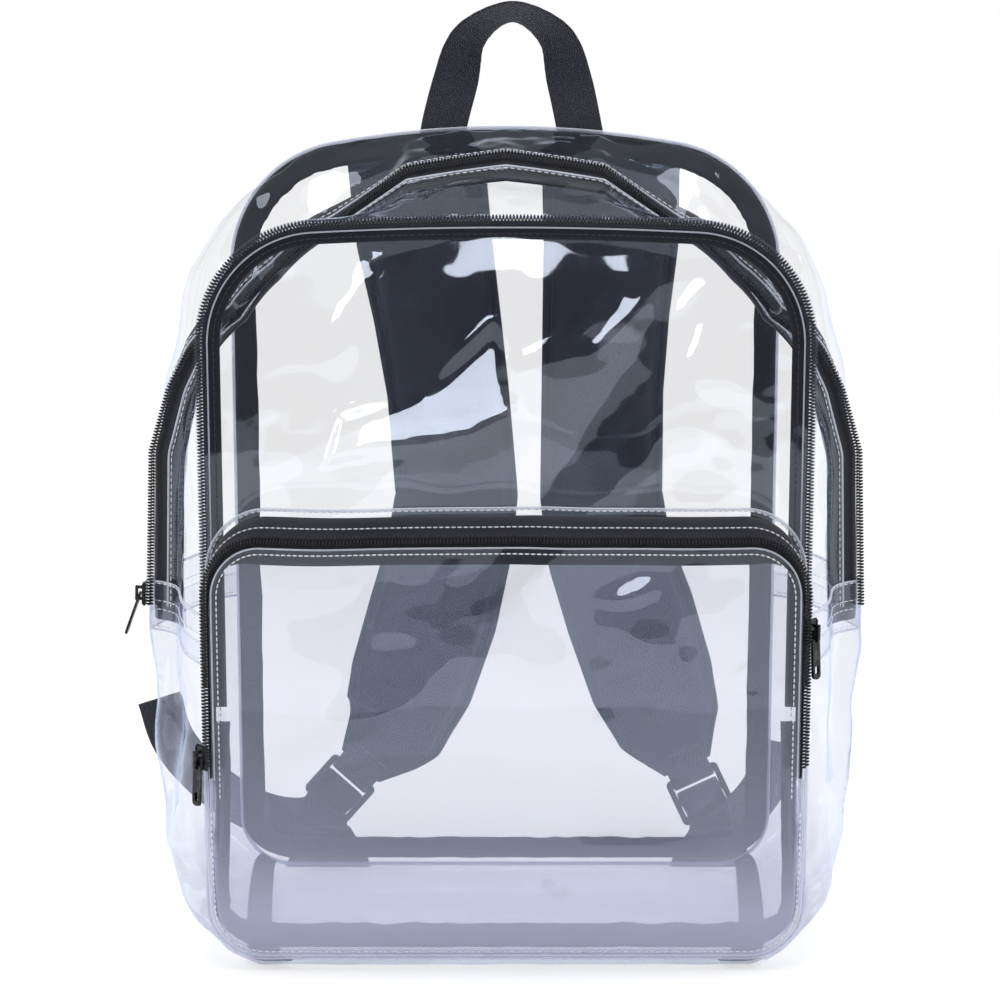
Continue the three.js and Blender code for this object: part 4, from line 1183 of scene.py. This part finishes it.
# Zip hardware. In a slider's own frame Z runs along the zip, X across it and Y away from the bag.
def slotted_plate(columns, rows, thickness, corner, slot_corner, soften):
    """A flat plate with two slots, its corners rounded and every edge softened."""
    bm = bmesh.new()
    bmesh.ops.create_grid(bm, x_segments=3, y_segments=5, size=0.5)
    lines_x = sorted({round(vert.co.x, 4) for vert in bm.verts})
    lines_y = sorted({round(vert.co.y, 4) for vert in bm.verts})
    for vert in bm.verts:
        column = lines_x.index(round(vert.co.x, 4))
        row = lines_y.index(round(vert.co.y, 4))
        vert.co = Vector((columns[column], -thickness / 2, rows[row]))
    slots = [face for face in bm.faces
             if abs(face.calc_center_median().x) < columns[2] * 0.9
             and any(rows[k] < face.calc_center_median().z < rows[k + 1] for k in (1, 3))]
    bmesh.ops.delete(bm, geom=slots, context="FACES")
    made = bmesh.ops.extrude_face_region(bm, geom=bm.faces[:])
    moved = [item for item in made["geom"] if isinstance(item, bmesh.types.BMVert)]
    bmesh.ops.translate(bm, verts=moved, vec=(0, thickness, 0))
    bmesh.ops.recalc_face_normals(bm, faces=bm.faces)
    bmesh.ops.dissolve_limit(bm, angle_limit=0.01, verts=bm.verts, edges=bm.edges)
    for outer, width in ((True, corner), (False, slot_corner)):
        corners = []
        for edge in bm.edges:
            run = edge.verts[0].co - edge.verts[1].co
            is_outer = abs(edge.verts[0].co.x) > columns[2] + 0.01
            if abs(run.y) > thickness * 0.9 and is_outer == outer:
                corners.append(edge)
        bmesh.ops.bevel(bm, geom=corners, offset=width, affect="EDGES", segments=5, profile=0.5, material=-1)
    soften_edges(bm, soften)
    return bm


def soften_edges(bm, width):
    bm.normal_update()
    sharp = [edge for edge in bm.edges if edge.is_manifold and edge.calc_face_angle(0) > 0.9]
    bmesh.ops.bevel(bm, geom=sharp, offset=width, affect="EDGES", segments=2, profile=0.5, material=-1,
                    clamp_overlap=True)


def add_block(bm, size, centre, soften):
    part = bmesh.new()
    bmesh.ops.create_cube(part, size=1, matrix=Matrix.Diagonal((*size, 1)))
    soften_edges(part, soften)
    bmesh.ops.translate(part, verts=part.verts, vec=centre)
    join(bm, part)


def slider_body():
    """A plate with raised sides over the coil, a wedge nose and an arched bridge."""
    bm = bmesh.new()
    add_block(bm, (9, 1.2, 13), (0, 0.7, 0), 0.5)
    for side in (-1, 1):
        add_block(bm, (1.3, 2.0, 11.4), (side * 3.75, 1.05, 0), 0.4)
    add_block(bm, (5.0, 1.0, 4.2), (0, 1.6, 4.0), 0.4)
    for end in (-1, 1):
        add_block(bm, (2.3, 4.3, 1.6), (0, 3.9, end * 3.2), 0.45)
    add_block(bm, (2.3, 1.6, 8.2), (0, 5.4, 0), 0.5)
    return bm


def add_slider(name, frame_parts, tilt):
    """A slider in its coil's frame, and its pull tab on the bridge, tilted away from the bag."""
    at, along, _, up = frame_parts
    down = along * (1 if along.z > 0 else -1)
    across = up.cross(down).normalized()
    down = across.cross(up).normalized()
    basis = Matrix((across, up, down)).transposed().to_4x4()
    seat = Matrix.Translation(in_frame(at + up * (COIL_HEIGHT + GAP))) @ basis @ Matrix.Scale(MM, 4)
    body = slider_body()
    bmesh.ops.transform(body, matrix=seat, verts=body.verts)
    finish_piece(f"{name}_slider_body", body, LACQUER, "body", f"{name}_slider", False)
    columns = (-3, -1.5, 1.5, 3)
    rows = (-24.25, -21.9, -17.3, -5.4, -0.75, 0.75)
    pull = slotted_plate(columns, rows, thickness=1.4, corner=2.5, slot_corner=1.1, soften=0.28)
    hinge = Matrix.Translation((0, 3.3, 0)) @ Matrix.Rotation(tilt, 4, "X")
    bmesh.ops.transform(pull, matrix=seat @ hinge, verts=pull.verts)
    finish_piece(f"{name}_pull_tab", pull, LACQUER, f"{name}_pull", f"{name}_pull", False)


def first_frame(coil_frame, place, near):
    """A coil's frame at a place, turned towards the next one."""
    at, _, side, up = coil_frame(place)
    return at, (coil_frame(near)[0] - at).normalized(), side, up


PART_STEPS = (3, 4, 6, 5, 4)


def stations(start, end):
    """Places of the model's own rows, which its sliders stand on."""
    places = [start]
    for part in range(10):
        steps = PART_STEPS[part if part < 5 else 9 - part]
        for k in range(steps):
            place = part + k / steps
            if start + 0.03 < place < end - 0.03:
                places.append(place)
    return places + [end]


def seam_to_seam_frame(place, height):
    """A frame that lies straight across the gusset, whatever its folds do."""
    at = gusset_point(place, math.pi / 2)
    along = (gusset_point(place + 0.02, math.pi / 2) - gusset_point(place - 0.02, math.pi / 2)).normalized()
    side = (gusset_point(place, math.pi) - gusset_point(place, 0)).normalized()
    up = outward(at, along, side)
    return at + up * height, along, side, up


def add_sliders():
    main_place = 10 - ZIP_PLACE - SLIDER_LENGTH / 2 / 300
    add_slider("main", seam_to_seam_frame(main_place, -FILM / 2), 0.32)
    front = stations(FRONT_ZIP_PLACE, 10 - FRONT_ZIP_PLACE)
    add_slider("front", first_frame(front_coil_frame, front[1], front[2]), 0.06)
    pocket = stations(POCKET_ZIP_PLACE, 10 - POCKET_ZIP_PLACE)
    add_slider("pocket", first_frame(pocket_coil_frame, pocket[-2], pocket[-3]), 0.06)


# Shoulder straps: share of the way down, then bow, spread, drift, width and thickness
STRAP_SECTIONS = (
    (0, 0.02, 1.02, 0.3, 1.04, 0), (0.04, 0.16, 1.01, 0.32, 1.04, 0.7), (0.136, 0.52, 1, 0.45, 1.05, 1),
    (0.26, 0.84, 0.92, 0.6, 1, 1), (0.388, 0.98, 0.85, 0.75, 0.97, 1), (0.562, 0.97, 0.8, 0.9, 0.98, 1),
    (0.657, 0.86, 0.89, 0.9, 1, 1), (0.756, 0.72, 1.09, 1, 1.04, 1), (0.867, 0.55, 1.33, 1, 1, 1),
    (0.94, 0.42, 1.52, 1, 0.84, 0.9), (1, 0.34, 1.8, 0.7, 0.4, 0.55),
)
STRAP_ROOT = BACK_Y + FILM / 2 + DRAPE + STRAP_SEWN / 2


def strap_point(side, down):
    row = row_at(STRAP_SECTIONS, down)
    _, bow, part, drift, _, _ = row
    x = drift * STRAP_DRIFT + side * part * STRAP_SPREAD / 2
    return row, Vector((x, STRAP_ROOT + bow * STRAP_BOW, mix(STRAP_TOP, STRAP_END, down)))


def strap_frame(side, down):
    row, at = strap_point(side, down)
    before = strap_point(side, max(0.0, down - 0.02))[1]
    after = strap_point(side, min(1.0, down + 0.02))[1]
    along = (after - before).normalized()
    face = (Vector((0, 1, 0)) - along * along.y).normalized()
    thick = mix(STRAP_SEWN, STRAP_THICKNESS, row[5])
    return at, along, face, STRAP_WIDTH * row[4], thick


def add_straps():
    for name, side in (("left", -1), ("right", 1)):
        def frame_at(u, side=side):
            at, along, face, wide, thick = strap_frame(side, u)
            across = along.cross(face).normalized()
            swell = 1 + 0.1 * noise.noise(Vector((u * 14, side * 3.0, 1.0)))
            return at, across, face, wide * 0.995, thick * swell
        piece = band(f"shoulder_strap_{name}_pad", frame_at, 380, 130, 56, padded_section, STRAP,
                     f"shoulder_strap_{name}")
        add_strap_binding(name, side)


def add_strap_binding(name, side):
    """The stitches along both edges of a strap, on both its faces."""
    bm = bmesh.new()
    for edge in (-1, 1):
        def line(down, edge=edge, face_way=1):
            at, along, face, wide, thick = strap_frame(side, down)
            across = along.cross(face).normalized()
            return at + across * (edge * wide * 0.425) + face * (face_way * thick * 0.2)
        sew(bm, line, 0.03, 0.985, 3.2, 0.3)
        sew(bm, lambda down, line=line: line(down, face_way=-1), 0.03, 0.985, 3.2, 0.3)
    add_chart(bm)
    finish_piece(f"shoulder_strap_{name}_stitches", bm, DARK_THREAD, "body")


# Webbing
def smooth_path(points, faces):
    """A centripetal curve through points, with the web's facing blended between them."""
    padded = [points[0] * 2 - points[1], *points, points[-1] * 2 - points[-2]]

    def at(u):
        spot = clamp(u, 0, 0.999999) * (len(points) - 1)
        low = int(spot)
        p0, p1, p2, p3 = padded[low:low + 4]
        knots = [0.0]
        for a, b in ((p0, p1), (p1, p2), (p2, p3)):
            knots.append(knots[-1] + max(1e-6, (b - a).length) ** 0.5)
        t = mix(knots[1], knots[2], spot - low)

        def between(a, b, ta, tb):
            return a + (b - a) * ((t - ta) / (tb - ta))
        a1 = between(p0, p1, knots[0], knots[1])
        a2 = between(p1, p2, knots[1], knots[2])
        a3 = between(p2, p3, knots[2], knots[3])
        b1 = between(a1, a2, knots[0], knots[2])
        b2 = between(a2, a3, knots[1], knots[3])
        facing = faces[low].lerp(faces[min(low + 1, len(faces) - 1)], spot - low)
        return between(b1, b2, knots[1], knots[2]), facing
    return at


def web_band(name, node, points, faces, steps, length):
    path = smooth_path(points, faces)

    def frame_at(u):
        at, face = path(u)
        along = (path(min(1.0, u + 0.004))[0] - path(max(0.0, u - 0.004))[0]).normalized()
        face = (face - along * face.dot(along)).normalized()
        return at, along.cross(face).normalized(), face, WEB_WIDTH, WEB_THICKNESS
    return band(name, frame_at, length, steps, 28, flat_section, WEBBING, node)


TAIL_SECTIONS = ((0.03, -0.05, 0.01), (0.14, -0.08, 0), (0.32, -0.05, -0.02), (0.52, 0.07, -0.04),
                 (0.68, 0.26, -0.07), (0.74, 0.46, -0.09))


def add_adjuster(name, side):
    end, down, face, _, end_thick = strap_frame(side, 1.0)
    seat = end + down * (LOCK_HEIGHT / 2 + LOCK_GAP)
    slot = (LOCK_HEIGHT - 3 * LOCK_BAR) / 2
    basis = Matrix((down.cross(face).normalized(), face, -down)).transposed().to_4x4()
    inner = WEB_WIDTH / 2 + 2 * GAP
    half_bar = LOCK_BAR / 2
    rows = (-LOCK_HEIGHT / 2, -half_bar - slot, -half_bar, half_bar, half_bar + slot, LOCK_HEIGHT / 2)
    columns = (-LOCK_WIDTH / 2, -inner, inner, LOCK_WIDTH / 2)
    plate = slotted_plate(columns, rows, LOCK_THICKNESS, corner=3.0, slot_corner=0.9, soften=0.6)
    bmesh.ops.transform(plate, matrix=Matrix.Translation(in_frame(seat)) @ basis @ Matrix.Scale(MM, 4),
                        verts=plate.verts)
    finish_piece(f"ladder_lock_{name}_frame", plate, MOULDED, "body", f"ladder_lock_{name}",
                 False)

    def at(up, out):
        return seat - down * up + face * out

    clear = LOCK_THICKNESS / 2 + DRAPE + WEB_THICKNESS / 2
    bar_foot = LOCK_HEIGHT / 2 - LOCK_BAR
    strap_up = LOCK_HEIGHT / 2 + LOCK_GAP
    strap_clear = end_thick / 2 + 2 * GAP + WEB_THICKNESS / 2
    loop_turn = bar_foot - 2 * GAP - WEB_THICKNESS / 2
    loop = ((strap_up + 10, strap_clear + 0.9, face), (strap_up, strap_clear, face),
            (bar_foot + half_bar, clear + GAP, face), (loop_turn + 0.6, clear * 0.75, face + down),
            (loop_turn, 0, down), (loop_turn + 0.6, -clear * 0.75, down - face),
            (bar_foot + half_bar, -clear - GAP, -face), (strap_up, -strap_clear, -face),
            (strap_up + 10, -strap_clear - 0.9, -face))
    web_band(f"lock_loop_{name}_web", f"lock_loop_{name}", [at(up, out) for up, out, _ in loop],
             [facing for _, _, facing in loop], 60, 50)

    tab_x = seat.x + side * 6

    def tab_at(z):
        rear = back_surface(tab_x, z) + FILM / 2 + DRAPE + GAP + WEB_THICKNESS / 2
        return Vector((tab_x, rear, z))
    tab_foot = SEAM_LIFT / 2

    def tab_frame(u):
        _, wide = row_at(((0, TAB_WIDTH), (0.3, TAB_WIDTH * 0.9), (1, WEB_WIDTH)), u)
        return tab_at(tab_foot + TAB_HEIGHT * u), Vector((1, 0, 0)), Vector((0, 1, 0)), wide, WEB_THICKNESS
    band(f"anchor_tab_{name}_web", tab_frame, TAB_HEIGHT, 14, 28, flat_section, WEBBING,
         f"anchor_tab_{name}")

    rise_at = half_bar + 0.38 * slot
    anchor = tab_at(tab_foot + WEB_THICKNESS) + Vector((0, WEB_THICKNESS + 2 * DRAPE, 0))
    foot = at(-LOCK_HEIGHT / 2, -clear)
    path = [
        (anchor, -face), (anchor.lerp(foot, 0.6), -face), (at(-LOCK_HEIGHT / 2, -clear - GAP), -face),
        (at(0, -clear), -face), (at(rise_at - 0.6, -clear * 0.8), -face - down), (at(rise_at, 0), -down),
        (at(rise_at - 0.6, clear * 0.8), face - down), (at(0, clear), face),
        (at(2 - LOCK_HEIGHT / 2, clear + GAP), face),
    ]
    length = TAIL_LENGTHS[name]
    tuck, lift = (1.0, 0.1) if name == "left" else (0.66, 0.16)
    for out, rise, rear in TAIL_SECTIONS:
        step = Vector((side * out * tuck, rear, rise + out * lift))
        path.append((at(-LOCK_HEIGHT / 2, clear) + step * length, face))
    web_band(f"strap_webbing_{name}_web", f"strap_webbing_{name}", [point for point, _ in path],
             [facing for _, facing in path], 150, 200)


HANDLE_SECTIONS = ((0, 0.5, -1), (0.1, 0.5, 0), (0.25, 0.41, 0.42), (0.38, 0.3, 0.8), (0.5, 0, 1))


def add_handle():
    handle_y = BACK_Y + FILM / 2 + 2 * DRAPE + WEB_THICKNESS / 2
    points = []
    for share in (0, 0.1, 0.25, 0.38, 0.5, 0.62, 0.75, 0.9, 1):
        _, x, rise = row_at(HANDLE_SECTIONS, min(share, 1 - share))
        height = -5.0 if rise < 0 else rise * HANDLE_RISE
        way = -1 if share <= 0.5 else 1
        points.append(Vector((HANDLE_OFFSET + way * x * HANDLE_SPAN, handle_y, BACK_HEIGHT - 2 + height)))
    path = smooth_path(points, [Vector((0, 1, 0))] * len(points))
    places, length = march(lambda u: path(u)[0], 0.0, 1.0, 1.0)

    def frame_at(u):
        spot = places[round(u * (len(places) - 1))]
        at = path(spot)[0]
        along = (path(min(1.0, spot + 0.004))[0] - path(max(0.0, spot - 0.004))[0]).normalized()
        twist = math.radians(68) * ease((0.5 - abs(u - 0.5)) / 0.5 * 1.25 - 0.25)
        flat = Vector((0, 1, 0))
        turn = Matrix.Rotation(twist, 3, along)
        return at, turn @ along.cross(flat).normalized(), turn @ flat, WEB_WIDTH, WEB_THICKNESS
    band("grab_handle_web", frame_at, length, 150, 32, flat_section, WEBBING, "grab_handle")


# The studio: a pale floor, a white backdrop and soft light
def add_floor():
    bm = bmesh.new()
    bmesh.ops.create_grid(bm, x_segments=8, y_segments=8, size=1)
    for vert in bm.verts:
        vert.co = Vector((vert.co.x * 5, mix(-2.3, 9, vert.co.y / 2 + 0.5), -0.0004))
    mesh = bpy.data.meshes.new("floor")
    bm.to_mesh(mesh)
    bm.free()
    floor = bpy.data.objects.new("floor", mesh)
    bpy.context.scene.collection.objects.link(floor)
    f = Finish("floor paper")
    spread = f.add("ShaderNodeVectorMath", {"operation": "LENGTH"}, {0: f.place()}, "Value")
    glow = f.ramp(spread * 0.5, (0.14, 0.59), (0.62, 1.0))
    paint = f.ramp(spread * 0.5, (0.14, 0.52), (0.62, 0.02))
    paper = f.surface(Base_Color=paint, Roughness=0.9, Specular_IOR_Level=0.0, Emission_Color=glow,
                      Emission_Strength=1.0)
    mesh.materials.append(f.shell(paper))


def add_light(name, at, target, size, energy):
    data = bpy.data.lights.new(name, "AREA")
    data.shape = "RECTANGLE"
    data.size, data.size_y = size
    data.energy = energy
    light = bpy.data.objects.new(name, data)
    light.location = at
    light.rotation_euler = (Vector(target) - Vector(at)).to_track_quat("-Z", "Y").to_euler()
    light.visible_camera = False
    bpy.context.scene.collection.objects.link(light)


def add_world():
    world = bpy.data.worlds.new("studio")
    bpy.context.scene.world = world
    f = Finish("studio", world)
    direction = f.add("ShaderNodeTexCoord", out="Generated")
    depth = f.add("ShaderNodeSeparateXYZ", None, {"Vector": direction}, "Y")
    rise = f.add("ShaderNodeSeparateXYZ", None, {"Vector": direction}, "Z")
    behind = f.ramp(depth * 0.5 + 0.5, (0.22, 0.035), (0.5, 0.75), (0.7, 1.0))
    ceiling = f.ramp(rise * 0.5 + 0.5, (0.6, 1.0), (0.74, 0.16), (1.0, 0.3))
    studio = f.add("ShaderNodeBackground", None, {"Color": behind * ceiling, "Strength": 1.0})
    white = f.add("ShaderNodeBackground", None, {"Color": (1, 1, 1, 1), "Strength": 1.0})
    seen = f.add("ShaderNodeLightPath", out="Is Camera Ray")
    f.shell(f.add("ShaderNodeMixShader", None, {0: seen, 1: studio, 2: white}))


def add_lights():
    add_light("top", (0, -0.2, 2.3), (0, 0, 0.1), (2.6, 2.0), 55)
    add_light("left", (-1.9, -0.5, 1.0), (0, 0, 0.2), (0.7, 1.5), 16)
    add_light("right", (1.9, -0.3, 0.9), (0, 0, 0.2), (0.6, 1.5), 14)
    add_light("front", SOFTBOX_PLACE, (0, -0.1, 0.3), (0.34, 0.26), 2.6)


add_camera()
add_panels()
add_gussets()
add_laps()
add_bindings()
add_zip_tapes()
add_coils()
add_edge_beads()
add_stitching()
add_sliders()
add_straps()
add_adjuster("left", -1)
add_adjuster("right", 1)
add_handle()
add_floor()
add_world()
add_lights()
bpy.context.scene.view_settings.view_transform = "Standard"
